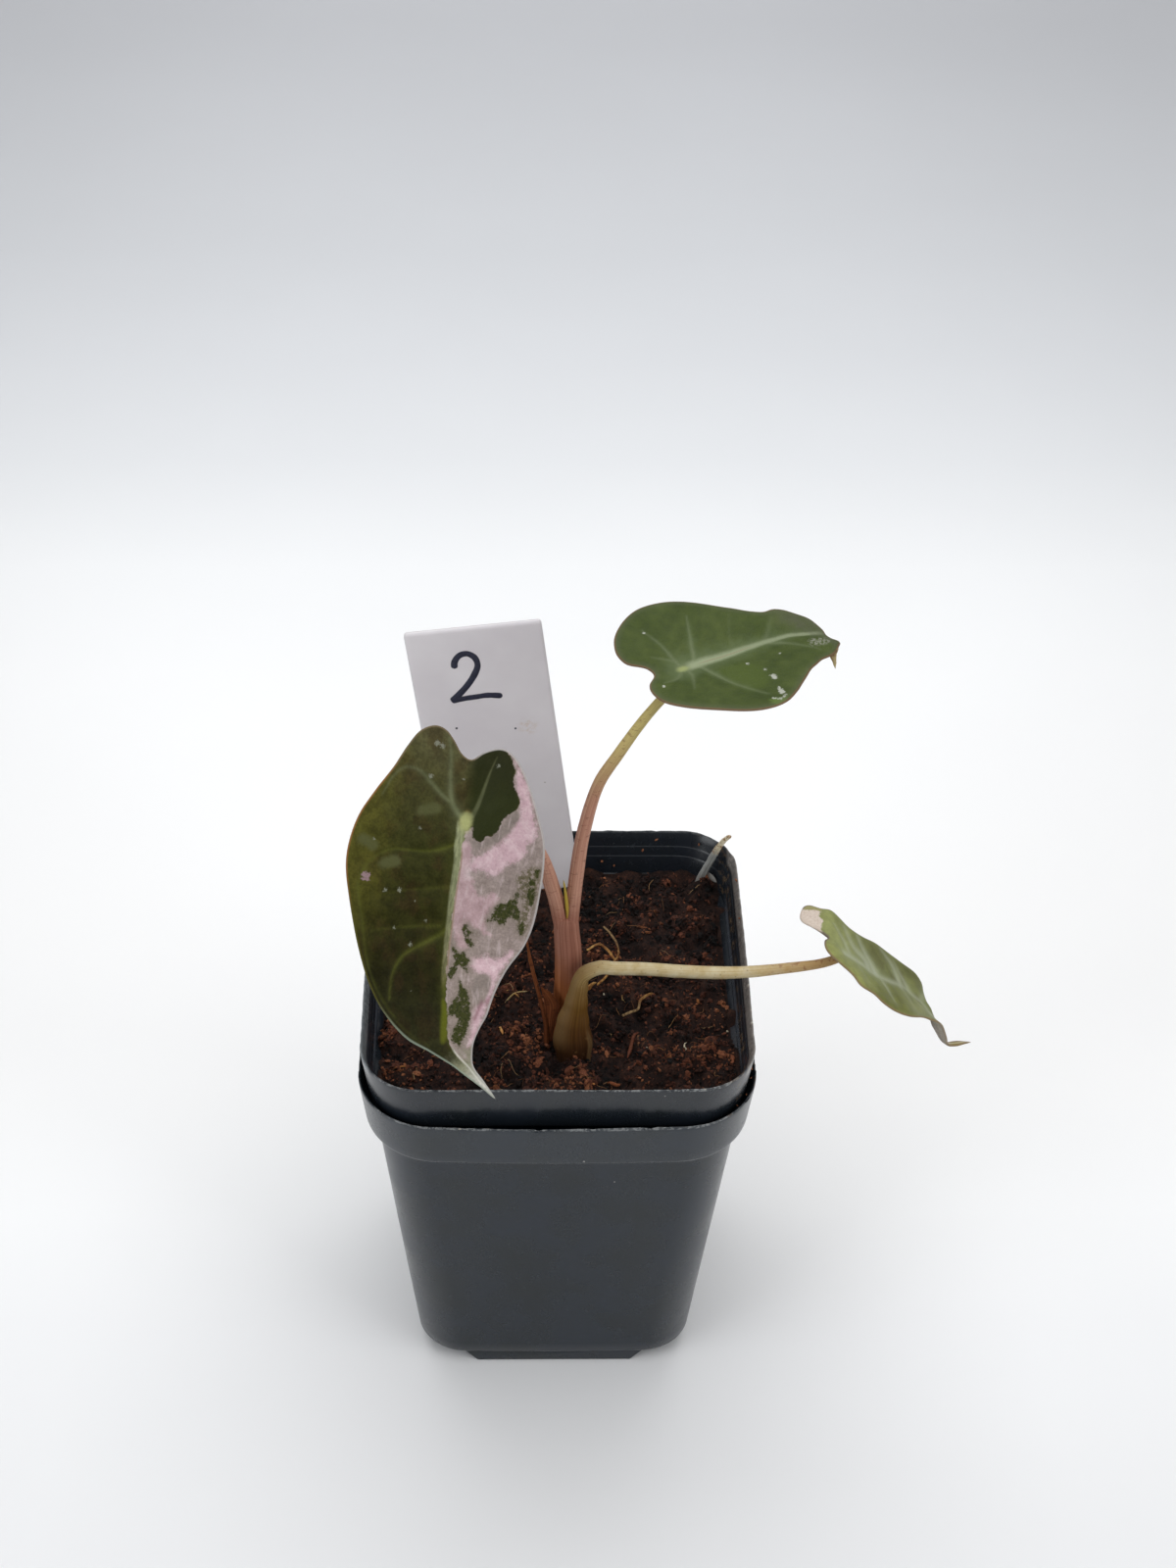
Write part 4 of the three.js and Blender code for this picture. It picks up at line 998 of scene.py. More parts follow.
RIGHT_VEINS = [
    (0.8, 0.6, [(0, -0.4), (3.6, -0.8), (8.8, -0.6), (12.3, -1), (15.8, -1.6), (18.8, -1), (21.3, -0.7),
        (23.7, 0.3), (36, 0)]),
    (0.9, 0.85, [(6.4, -0.9), (5.7, -2.4), (2.4, -3.8), (-0.1, -6.8)]),
    (1, 0.8, [(8.4, -0.8), (7.1, -2.6), (5.2, -4.6), (3.4, -7.1)]),
    (0.7, 0.5, [(1.6, -0.7), (0.5, -2.5), (-2.6, -6)]),
    (0.8, 0.7, [(15.4, -1.5), (15, -2.6), (13.8, -5.3), (10.6, -7.7)]),
    (0.7, 0.5, [(17.6, -1.3), (16.9, -2.4), (14.3, -6.6)]),
    (0.5, 0.5, [(20.8, -1.2), (21.4, -4), (20.7, -6.4)]),
    (0.7, 0.5, [(9.6, -0.5), (10.3, 0.9), (11.2, 5)]),
    (0.3, 0.5, [(3, -0.6), (4, 1.5), (5.4, 4)]),
    (0.3, 0.5, [(16, -0.9), (17, 0.8), (18, 3)])]


class Blade:
    """Places flat points (s along the midrib, t across) on a leaf's curved blade."""

    STEP = 0.25

    def __init__(self, spec):
        self.spec = spec
        self.tip = np.array(spec["tip"], float)
        self.tip /= np.linalg.norm(self.tip)
        up = np.array(spec["up"], float)
        up -= self.tip * (up @ self.tip)
        self.up = up / np.linalg.norm(up)
        self.side = np.cross(self.tip, self.up)
        low, high = spec["reach"]
        count = round((high - low) / self.STEP)
        start = round(-low / self.STEP)
        middle = low + (np.arange(count) + 0.5) * self.STEP
        steps = self.directions(middle)[0] * self.STEP
        self.spine = np.zeros((count + 1, 3))
        self.spine[1:] = np.cumsum(steps, 0)
        self.spine += np.array(spec["at"]) - self.spine[start]
        self.s = low + np.arange(count + 1) * self.STEP

    def directions(self, s):
        spec = self.spec

        def total(key):
            return sum((deg * smoothstep(s, a, b) for a, b, deg in spec[key]), np.zeros(len(s)))
        bend = np.radians(total("bends") - spec["droop"] * smoothstep(-s, 0, 12))[:, None]
        turn = np.radians(total("turns"))[:, None]
        twist = np.radians(total("twists"))[:, None]
        forward = self.tip * np.cos(bend) - self.up * np.sin(bend)
        normal = self.tip * np.sin(bend) + self.up * np.cos(bend)
        along = forward * np.cos(turn) + self.side * np.sin(turn)
        across = self.side * np.cos(turn) - forward * np.sin(turn)
        return (along, across * np.cos(twist) + normal * np.sin(twist),
                normal * np.cos(twist) - across * np.sin(twist))

    def place(self, flat):
        s, t = flat[:, 0], flat[:, 1]
        centre = np.stack([np.interp(s, self.s, self.spine[:, k]) for k in range(3)], 1)
        _, across, normal = self.directions(s)
        spec = self.spec
        fade = 1 - smoothstep(s, spec["flat_from"], spec["flat_from"] + 8)
        fold = np.radians(np.where(t > 0, spec["folds"][0], spec["folds"][1])) * fade
        curl = np.where(t > 0, spec["curls"][0], spec["curls"][1]) * fade
        lift = np.sin(fold) * (np.hypot(t, 1.5) - 1.5) + 0.5 * curl * t * t
        return centre + across * (t * np.cos(fold))[:, None] + normal * lift[:, None]


# How thick a blade is at its margin, and how far its relief goes, in mm
RIM_LOW, RIM_RISE, RIM_WIDTH = 0.02, 0.24, 0.3
QUILT, VEIN_SUNK, VEIN_RAISED = 0.16, 0.16, 0.42


def leaf_piece(name, spec, veins, rays, rings, paint):
    """A thin blade with sunken veins above, raised ones below, and the fields it is painted by."""
    blade = Blade(spec)
    edge = even_path(spec["outline"], rays, closed=True)
    shares = np.linspace(0, 1, rings + 1)[1:]
    shares = 1 - (1 - shares) ** 1.15
    flat = np.vstack([[[0, 0]]] + [edge * share for share in shares])
    outline = even_path(spec["outline"], 240, closed=True)
    margin = np.concatenate([[9], *[line_distance(edge * share, outline, closed=True) for share in shares]])
    margin[-rays:] = 0
    vein, sunk, halo = np.zeros((3, len(flat)))
    nearest = np.full(len(flat), 99.0)
    for strength, width, route in veins:
        # A vein starts wide at the stalk's joint and thins out towards the margin
        distance, share = nearest_on(flat, even_path(route, 60))
        wide = width * (1.35 - 0.8 * share)
        force = strength * (1 - 0.55 * share)
        vein = np.maximum(vein, force * bell(distance, wide))
        sunk = np.maximum(sunk, np.minimum(1, force + 0.2) * bell(distance, wide * 1.2))
        halo = np.maximum(halo, force * bell(distance, wide * 3.6))
        nearest = np.minimum(nearest, distance)
    reach = 0.05
    along = blade.place(flat + [reach, 0]) - blade.place(flat - [reach, 0])
    across = blade.place(flat + [0, reach]) - blade.place(flat - [0, reach])
    normal = unit(np.cross(across, along))
    centre = blade.place(flat)
    inward = smoothstep(margin, 0, 1.6)
    quilt = QUILT * smoothstep(nearest, 0.2, 3.0) + 0.07 * soft_noise(flat[:, 0], flat[:, 1], 2.6, 41)
    round_off = np.sqrt(np.clip(1 - (1 - np.clip(margin / RIM_WIDTH, 0, 1)) ** 2, 0, 1))
    rim = RIM_RISE * round_off + RIM_LOW
    top = rim * 0.8 + (quilt - VEIN_SUNK * sunk) * inward
    under = rim * 0.8 - (quilt * 0.7 - VEIN_RAISED * sunk) * inward
    upper, lower = centre + normal * top[:, None], centre - normal * np.maximum(under, RIM_LOW)[:, None]
    count = len(flat)
    k = np.arange(rays)
    following = (k + 1) % rays
    row = np.arange(rings - 1)[:, None] * rays
    a, b = (1 + row + k).ravel(), (1 + row + following).ravel()
    quads = np.stack([a, b, b + rays, a + rays], 1)
    fan = np.stack([np.zeros(rays, int), 1 + following, 1 + k], 1)
    outer = 1 + (rings - 1) * rays
    rim_faces = np.stack([outer + k, outer + following, outer + following + count, outer + k + count], 1)
    fields = {"flat": np.column_stack([flat, np.zeros(count)]), "vein": vein, "halo": halo, "edge": margin,
              **paint(flat)}
    fields = {key: np.concatenate([values, values]) for key, values in fields.items()}
    fields["under"] = np.concatenate([np.zeros(count), np.ones(count)])
    return mesh_object(name, np.vstack([upper, lower]),
                       np.vstack([quads, (quads + count)[:, ::-1], rim_faces]),
                       np.vstack([fan, (fan + count)[:, ::-1]]), fields)


# Where the left leaf's green half ends
LEFT_MIDLINE = [(-20, 1.8), (-11, 1.4), (0, 0), (1.2, -0.1), (3.4, 0), (5.8, -0.3), (10.8, -0.4),
    (17.4, -0.8), (22.4, -0.8), (25.7, -0.6), (29, -0.5), (31.5, -0.8), (34, -0.4), (36, -0.1), (39.8, 0),
    (42.5, -0.3), (50, 0)]
LEFT_LOBE = [(-0.2, -1.2), (1.4, -1.7), (1.8, -3), (1, -3.9), (0.3, -4.9), (-0.3, -5.7), (-1.5, -6),
    (-2.6, -6.3), (-3.6, -7.1), (-4.2, -7.9), (-5.1, -8.4), (-6, -8.4), (-6.9, -7.9), (-8.3, -7.3),
    (-9.5, -6.8), (-10.8, -6.8), (-11.9, -6.4), (-13, -5.5), (-14.2, -4), (-14.4, -1.6), (-12.7, 0.7),
    (-11.2, 1.6), (-4, 0.9), (1, 0.6)]
# Coloured areas of the pale half
LEFT_PINKS = [
    [(-12.3, -6.5), (-11.1, -7.2), (-9.6, -7.3), (-8, -7.5), (-6.5, -8.3), (-4.9, -8.8), (-3.3, -9.1),
        (-2, -8.6), (-0.6, -7.9), (0.9, -6.9), (1.8, -6.1), (3, -4.9), (4.1, -3.4), (5.1, -2.2), (6.4, -1.9),
        (6.7, -2.9), (6.4, -4.2), (6.9, -5.2), (6.9, -6.2), (6, -7.6), (4.8, -8.4), (4.1, -9.6), (3.4, -10.7),
        (1.8, -11.1), (0.5, -11.3), (0, -12.1), (-1.7, -12.3), (-3.2, -11.6), (-5.3, -10.9), (-7.3, -10),
        (-9.4, -8.9), (-11.3, -7.5)],
    [(21.8, -5.2), (21.7, -6.4), (21, -7.5), (21.5, -8.6), (21.5, -9.8), (20.4, -10.9), (19.4, -11.8),
        (21.1, -11.6), (22.7, -10.7), (25.4, -9.6), (27.6, -8.7), (29.4, -8.1), (31, -7.4), (33.6, -6.4),
        (37.6, -5), (38.9, -3.4), (39.1, -2.3), (36.6, -4), (32.8, -4.9), (30.9, -5.4), (30.1, -6.8),
        (28.5, -7.7), (26.7, -8.4), (25.2, -8.4), (24.5, -7.4), (24.3, -6.2), (23.6, -5.3)]]
LEFT_MAUVE = [(2.5, 0), (2.6, -1.4), (5.5, -2.1), (7.2, -2.1), (8.6, -3.1), (10.5, -4.1), (10.7, -5.5),
    (9.9, -7.1), (10.7, -8.1), (12.6, -6.8), (14.7, -6.3), (16.3, -7.1), (17.1, -7.9), (16.3, -5.4),
    (15.6, -3.5), (17, -3.1), (18.6, -4), (20.5, -3.6), (19.7, -2.5), (17.3, -1.3), (14.9, -0.7),
    (11.6, -0.4), (5.5, -0.2)]
LEFT_GREYS = [
    [(1.9, -1.8), (2, -3), (1.3, -4.1), (0.2, -5.3), (-0.9, -6.1), (-2.3, -6.5), (-3.5, -7.5), (-4.3, -8.4),
        (-3.4, -8.9), (-2.2, -8.4), (-0.9, -7.8), (0.1, -7), (1.3, -6), (1.8, -5.2), (2.4, -4.5), (2.9, -3.5),
        (3.1, -2.4), (2.6, -1.6)],
    [(25, -6), (24.8, -7.4), (25.8, -8.4), (28, -8), (29.3, -7.3), (30.3, -6.2), (28.9, -5.4), (26.8, -5.2)]]
LEFT_GREENS = [
    [(14.8, -6.7), (14.1, -7.1), (13.1, -7.7), (12.1, -7.7), (11.3, -8.6), (10.9, -9.7), (10.1, -10.4),
        (9.6, -11.4), (10.8, -11.2), (12, -11.8), (13.1, -12.2), (13.5, -11.1), (13.2, -10.1), (14.6, -9.9),
        (14.7, -8.9), (14.4, -7.8)],
    [(15.9, -2.9), (15.8, -3.4), (16.9, -3.9), (17, -5.2), (17.4, -4.2), (18.1, -4), (18.5, -5), (19.6, -4.8),
        (19, -3.9), (17.9, -3.1), (16.8, -2.7)],
    [(19.2, -1.2), (20.6, -2.1), (21, -3.1), (20.5, -3.6), (21.7, -4.2), (22.5, -4.8), (23.1, -4.3),
        (24.5, -4.5), (23.7, -3.5), (23.2, -2.8), (24.4, -2.3), (25.4, -1.8), (25.2, -0.9), (23.9, -1.3),
        (23, -2.1), (21.5, -1.8)],
    [(25.8, -3), (26.8, -3.6), (28, -4.5), (30, -4.7), (31.7, -4.8), (33.9, -4.3), (35.5, -3.7), (36.8, -2.4),
        (37.6, -1.6), (36.7, -0.8), (35.2, -0.9), (34.2, -1.4), (33.4, -2.3), (32.1, -2.3), (31.3, -0.8),
        (30, -1.3), (28.8, -2.4), (27.4, -2.8)],
    [(8.2, -12.6), (7.6, -13.2), (8.6, -13.9), (10.6, -13.9), (10.6, -13.4)],
    [(14.3, -12.2), (13.7, -12.8), (15.1, -13.4), (16, -12.7)],
    [(7, -11.2), (7.3, -12.3), (6.2, -12.8), (7.2, -13.8), (7.5, -12.7), (7.5, -11.8)],
    [(4.4, -13.4), (4.6, -14), (6.1, -14.1), (5.9, -13.6)],
    [(9.6, -10.5), (9, -11.1), (9.9, -11.4), (10.4, -11)]]
LEFT_MOTTLED = [(6.5, -10.4), (4.2, -13.7), (7.4, -14.4), (10.8, -14.1), (14.1, -13.9), (16.1, -13.1),
    (14.5, -11.9), (11.1, -12.3), (8.8, -11.2)]
LEFT_WHITE = [(6.3, -1.2), (6.5, -2), (8.1, -2.5), (8.5, -1.8), (7.3, -1.3)]
LEFT_YELLOW = [(29, 0), (30.7, -0.6), (33.1, -0.5), (35.5, 0.2), (36, 1.1), (33.8, 0.6), (31.4, 0.2)]
LEFT_MAGENTA = [[(29.8, -6.8), (30.9, -6.2), (32.8, -5.4)], [(29.2, -8.1), (29.8, -7.6)]]
LEFT_PAINTED_SHEEN = [[(-1.6, 7.8), (-2.3, 5.5)], [(7.5, 10.7), (8.1, 12.4)], [(4.7, 16.7), (5.5, 14.8)],
              [(-4, -3.6), (-5.4, -5.4)]]
LEFT_TAIL_LINE = [(37.8, -0.1), (39.6, -0.2), (41.4, -0.3), (44.7, 0), (48.2, -0.6)]
LEFT_SPECKS = [(18.2, 8.8, 0.28), (20.4, 5.8, 0.4), (-13.1, 7.3, 0.55), (-12.8, 6.3, 0.5), (-7.5, 7.3, 0.45),
    (12.6, 11.4, 0.4), (12.2, 9, 0.45), (16.4, 3.8, 0.3), (-11.2, -3.8, 0.4), (1.4, 7.6, 0.3),
    (-8, 1.8, 0.25), (27.5, 5.2, 0.18), (13.5, 6.2, 0.2), (4.5, 14.8, 0.3)]


def spots(flat, places):
    best = np.full(len(flat), -9.0)
    for s, t, radius in places:
        best = np.maximum(best, radius - np.hypot(flat[:, 0] - s, flat[:, 1] - t))
    return best


def inside_any(flat, outlines):
    return np.max([inside_by(flat, outline) for outline in outlines], 0)


def near_lines(flat, lines, width):
    return np.max([bell(line_distance(flat, line), width) for line in lines], 0)


def left_paint(flat):
    line = np.array(LEFT_MIDLINE)
    half = flat[:, 1] - np.interp(flat[:, 0], line[:, 0], line[:, 1])
    return {"green": np.maximum(half, inside_by(flat, LEFT_LOBE)), "half": half,
            "lobe": inside_by(flat, LEFT_LOBE), "patch": inside_any(flat, LEFT_GREENS),
            "mottled": inside_by(flat, LEFT_MOTTLED), "pink": inside_any(flat, LEFT_PINKS),
            "mauve": inside_by(flat, LEFT_MAUVE), "grey": inside_any(flat, LEFT_GREYS),
            "white": inside_by(flat, LEFT_WHITE), "yellow": inside_by(flat, LEFT_YELLOW),
            "rib": np.abs(half - np.interp(flat[:, 0], [0, 6, 28], [0.8, 0.45, 0.35])),
            "joint": bell(np.hypot((flat[:, 0] + 1.0) * 0.65, flat[:, 1] - 0.1), 1.35),
            "fleck": spots(flat, LEFT_SPECKS), "rosy": spots(flat, [(10.9, 15.1, 0.9)]),
            "magenta": near_lines(flat, LEFT_MAGENTA, 0.35), "haze": near_lines(flat, LEFT_PAINTED_SHEEN, 1.1),
            "tail": bell(line_distance(flat, LEFT_TAIL_LINE), 0.16), "left": smoothstep(flat[:, 1], -1, 1)}


TOP_FLAKES = [
    [(11.9, 8.1), (12.7, 8.1), (12.4, 9.7), (11.9, 9.5)],
    [(11.6, 11.3), (11.7, 12.4), (11.6, 13.8), (10.8, 13.7)]]
TOP_THREADS = [[(9.5, 14), (10.4, 14.9), (11.5, 14.2)]]
TOP_SCUFF = [(24.1, 1.9), (26.5, 1.7), (27.9, 2.2), (27.1, 3.1), (24.7, 3.5), (23.7, 3.2)]
TOP_GREEN = [(4.7, 2.4), (10.1, 2.8), (12.3, 6.6), (9.9, 10.5), (7.9, 9.8), (5.8, 5.2)]
TOP_BRIGHT = [(8.8, 14.4), (9.9, 14.3), (11, 14.8), (11.9, 14.2), (10.8, 15.8), (9.3, 15.9)]
TOP_SHEEN_AREA = [(20.4, -7.6), (23.7, -6), (25.8, -3.4), (28.5, -0.5), (30, 3), (27.5, 0.9), (24.8, -0.9),
              (21.2, -2.2), (18.9, -3.5)]


def top_paint(flat):
    small = spots(flat, [(10.5, 3.3, 0.35), (12.1, 6.3, 0.3), (16.7, 3.4, 0.25), (-4.8, 3.2, 0.35),
                         (-3.3, -9.8, 0.3)])
    threads = 0.16 - np.min([line_distance(flat, line) for line in TOP_THREADS], 0)
    return {"rib": line_distance(flat, TOP_VEINS[0][2]),
            "fleck": np.maximum(inside_any(flat, TOP_FLAKES), small), "thread": threads,
            "fresh": inside_by(flat, TOP_GREEN), "bright": inside_by(flat, TOP_BRIGHT),
            "purple": inside_by(flat, TOP_SHEEN_AREA), "scuff": inside_by(flat, TOP_SCUFF),
            "joint": bell(np.hypot(flat[:, 0] * 0.6, flat[:, 1] + 0.1), 0.8)}


RIGHT_PINK = [(-9.8, -7.2), (-8.4, -7.2), (-7.1, -7.2), (-5.4, -7.5), (-5.7, -6), (-5, -5.4), (-5.3, -4),
    (-5.6, -2.6), (-9.8, -3.4), (-10.2, -5.4)]
RIGHT_STRIP = [(-9.3, -7.3), (-5.2, -7.6), (-5.2, -9), (-9, -9)]


def right_paint(flat):
    return {"pink": inside_by(flat, RIGHT_PINK), "strip": inside_by(flat, RIGHT_STRIP),
            "near": smoothstep(flat[:, 1], -1.2, 0.8), "far": smoothstep(flat[:, 0], 23.5, 28),
            "tip": smoothstep(flat[:, 0], 30.5, 32.5),
            "dusk": np.maximum(near_lines(flat, [[(7.9, -5.0), (9.6, -3.6)]], 1.4),
                               near_lines(flat, [[(13.2, -2.3), (16.4, -1.3), (16, -4.7)],
                                                 [(19.5, -1.2), (20, -0.4)]], 0.7))}


def leaf_finish(look, colour, tint, mid):
    """Adds the paler, greyer underside with strong veins, and the skin's fine relief."""
    under = look.field("under")
    back = colour.mixed(0.55, tint)
    back = back.mixed(look.field("vein") * 0.6, (0.3, 0.28, 0.18))
    look.set(base_color=colour.mixed(under, back), roughness=(mid + under * 0.4).step(0.3, 0.8, 0.4, 0.58))
    # Small raised cells between fine net veins; a slow noise moves them, so that they don't look drawn
    shift = look.made("TexNoise", "Color", {"Vector": look.place, "Scale": 0.5})
    stirred = look.made("VectorMath", "Vector", {0: look.place, 1: shift}, operation="ADD")
    net = look.made("TexVoronoi", "Distance", {"Vector": stirred, "Scale": 1.15},
                    feature="DISTANCE_TO_EDGE")
    look.relief(net.step(0, 0.25) + look.noise(4, 2, 0.5) * 0.4, 0.05, 0.5)
    return look


def left_leaf_look():
    look = Look("leaf_left", "flat", specular_ior_level=0.07)
    s, t, _ = look.axes(look.place)
    mid, fine = look.noise(0.5, 4, 0.6), look.noise(2.2, 4, 0.65)
    soft = look.swing(0.42, 4, 0.6)
    rough = look.swing(1.15, 4, 0.65)
    crumbly = look.swing(3.2, 2, 0.6)

    def area(name, uneven, soft_edge):
        """1 inside a painted area, with its outline made uneven and its edge this soft."""
        return (look.field(name) + rough * uneven + crumbly * (uneven * 0.4)).step(-soft_edge, soft_edge)

    # The green half, lighter at the top and towards the left margin
    green = s.step(-16, 44, kind="LINEAR").ramp(
        (0, (0.086, 0.081, 0.036)), (0.17, (0.046, 0.044, 0.014)), (0.33, (0.029, 0.03, 0.007)),
        (0.5, (0.022, 0.022, 0.004)), (0.68, (0.017, 0.016, 0.003)), (0.85, (0.032, 0.032, 0.01)))
    brown = look.noise(0.16, 4, 0.6, look.place.stretched((1, 1.4, 1))).step(0.46, 0.62)
    green = green.mixed(brown * 0.5, (0.034, 0.02, 0.007))
    outer = (t + soft * 8).step(9, 17) * s.step(26, 12)
    green = green.mixed(outer * 0.75, (0.072, 0.068, 0.011))
    green = green.scaled((mid * 0.6 + fine * 0.4).step(0.36, 0.64, 0.8, 1.48))
    green = green.scaled(s.step(16, 32, 1, 0.6))
    # Painted sheen: soft paler patches where the blade catches the light
    haze = (look.field("haze") + soft).step(0.15, 0.9)
    green = green.mixed(haze * 0.8, (0.085, 0.09, 0.035))
    halo = (look.field("halo") + soft * 0.9).step(0.1, 0.85)
    top_veins = s.step(3, -1)
    green = green.mixed(halo * 0.4, look.mix(top_veins, (0.05, 0.056, 0.01), (0.09, 0.098, 0.045)))
    green = green.mixed(look.field("vein") * mid.step(0.3, 0.7, 0.55, 0.95),
                        look.mix(top_veins, (0.105, 0.115, 0.02), (0.17, 0.19, 0.1)))
    rib_tone = s.step(0, 30, kind="LINEAR").ramp(
        (0, (0.29, 0.31, 0.17)), (0.28, (0.205, 0.22, 0.12)), (0.7, (0.17, 0.165, 0.085)),
        (0.92, (0.095, 0.088, 0.024)))
    rib_tone = rib_tone.scaled(look.noise(1, 4, 0.6, look.place.stretched((0.5, 2.5, 1))).step(0.35, 0.65,
                                                                                               0.75, 1.25))
    rib = (look.field("rib") + rough * 0.25 + s.step(4, 28, -0.3, 0)).step(0.1, 0.65, 0.95, 0)
    green = green.mixed(rib * (s.step(28, 25) * s.step(-1.6, 0.4)), rib_tone)
    lobe = area("lobe", 0.3, 0.2) * (look.field("half") + soft).step(1.6, -1.8)
    green = green.mixed(lobe * look.field("vein").step(0.1, 0.5, 0.9, 0.3),
                        look.mix(s.step(-12, -3), (0.014, 0.017, 0.004), (0.019, 0.024, 0.005)))
    # The pale half: grey, mauve, pink and white areas with green patches on them
    shade = mid * 0.7 + fine * 0.3
    pale = (mid * 0.5 + fine * 0.5).ramp(
        (0.36, (0.19, 0.15, 0.132)), (0.5, (0.255, 0.205, 0.185)), (0.64, (0.34, 0.275, 0.255)))
    pale = pale.mixed(area("mauve", 2.2, 0.5),
                      shade.ramp((0.36, (0.31, 0.21, 0.215)), (0.5, (0.385, 0.265, 0.275)),
                                 (0.64, (0.47, 0.34, 0.35))))
    pale = pale.mixed(area("pink", 2.6, 0.6),
                      shade.ramp((0.36, (0.42, 0.28, 0.305)), (0.5, (0.5, 0.345, 0.375)),
                                 (0.64, (0.59, 0.45, 0.47))))
    pale = pale.mixed(area("grey", 0.8, 0.35),
                      shade.ramp((0.36, (0.16, 0.13, 0.115)), (0.64, (0.26, 0.215, 0.19))))
    # Soft pale streaks run lengthwise through the pink
    pale_streak = look.noise(1, 4, 0.6, look.place.stretched((0.22, 1.1, 1))).step(0.54, 0.68)
    pale = pale.mixed(pale_streak * 0.35, (0.56, 0.46, 0.46))
    pale = pale.mixed(area("white", 1.6, 0.6) * 0.45, (0.66, 0.56, 0.56))
    pale = pale.mixed(look.field("vein") * 0.25, (0.55, 0.44, 0.42))
    pale = pale.mixed(look.field("magenta") * 0.75, (0.21, 0.1, 0.12))
    speckled = area("mottled", 1, 0.5) * look.noise(1.5, 4, 0.7).step(0.44, 0.52)
    pale = pale.mixed(speckled * 0.85, look.mix(fine, (0.03, 0.032, 0.008), (0.12, 0.1, 0.045)))
    near_patch = (look.field("patch") + rough * 2).step(-1.5, 0.3)
    pale = pale.mixed(near_patch * 0.4, (0.15, 0.125, 0.085))
    gaps = look.noise(1.25, 5, 0.75).step(0.54, 0.63, 1, 0.35)
    pale = pale.mixed(area("patch", 1.7, 0.2) * gaps,
                      fine.ramp((0.35, (0.02, 0.024, 0.006)), (0.65, (0.05, 0.053, 0.014))))
    pale = pale.scaled(s.step(12, 24, 1.02, 1.14))
    uneven = look.swing(0.8, 4, 0.6) * look.field("left").step(0, 1, 1.5, 0.25)
    colour = pale.mixed((look.field("green") + uneven).step(-0.12, 0.12), green)
    colour = colour.mixed(look.field("yellow").step(-0.5, 0.3) * 0.85, (0.105, 0.115, 0.01))
    line = abs(look.field("half") + 0.12).step(0.04, 0.24, 0.8, 0) * (s.step(2.5, 5) * s.step(26, 22))
    colour = colour.mixed(line, (0.27, 0.19, 0.13))
    heart = (look.field("joint") + look.swing(0.9, 4, 0.6) * 0.5).step(0.2, 0.9)
    colour = colour.mixed(heart * 0.9, look.mix(s.step(-3.1, -2.3), (0.22, 0.15, 0.05), (0.39, 0.4, 0.17)))
    fleck = (look.field("fleck") + crumbly * 1.1).step(-0.05, 0.25)
    colour = colour.mixed(fleck * 0.6, (0.28, 0.29, 0.23))
    rosy = (look.field("rosy") + rough * 2.4).step(0, 0.4)
    colour = colour.mixed(rosy * 0.85, (0.3, 0.2, 0.22))
    # The drawn-out tip is pale with a white line
    tail = look.mix(s.step(40, 46), (0.21, 0.21, 0.13), (0.49, 0.48, 0.43))
    colour = colour.mixed((s + soft * 6).step(37.5, 41.5), tail.scaled(fine.step(0.3, 0.7, 0.8, 1.15)))
    colour = colour.mixed(look.field("tail") * 0.7, (0.64, 0.62, 0.54))
    # The margin is a thin line: brown above, where light shining through it is painted as an orange glow,
    # olive and pale teal lower down, grey on the right
    edge = look.field("edge")
    upper_rim_brown_and_glow = look.mix(s.step(-12, -4), (0.17, 0.13, 0.075), (0.27, 0.12, 0.04))
    lower_rim = look.mix(s.step(28, 36), (0.085, 0.078, 0.014), (0.26, 0.31, 0.24))
    rim = look.mix(look.field("left"), (0.42, 0.395, 0.38), upper_rim_brown_and_glow.mixed(s.step(9, 18), lower_rim))
    colour = colour.mixed(edge.step(0.12, 0.38, 0.85, 0), rim)
    return leaf_finish(look, colour, (0.26, 0.21, 0.16), mid)


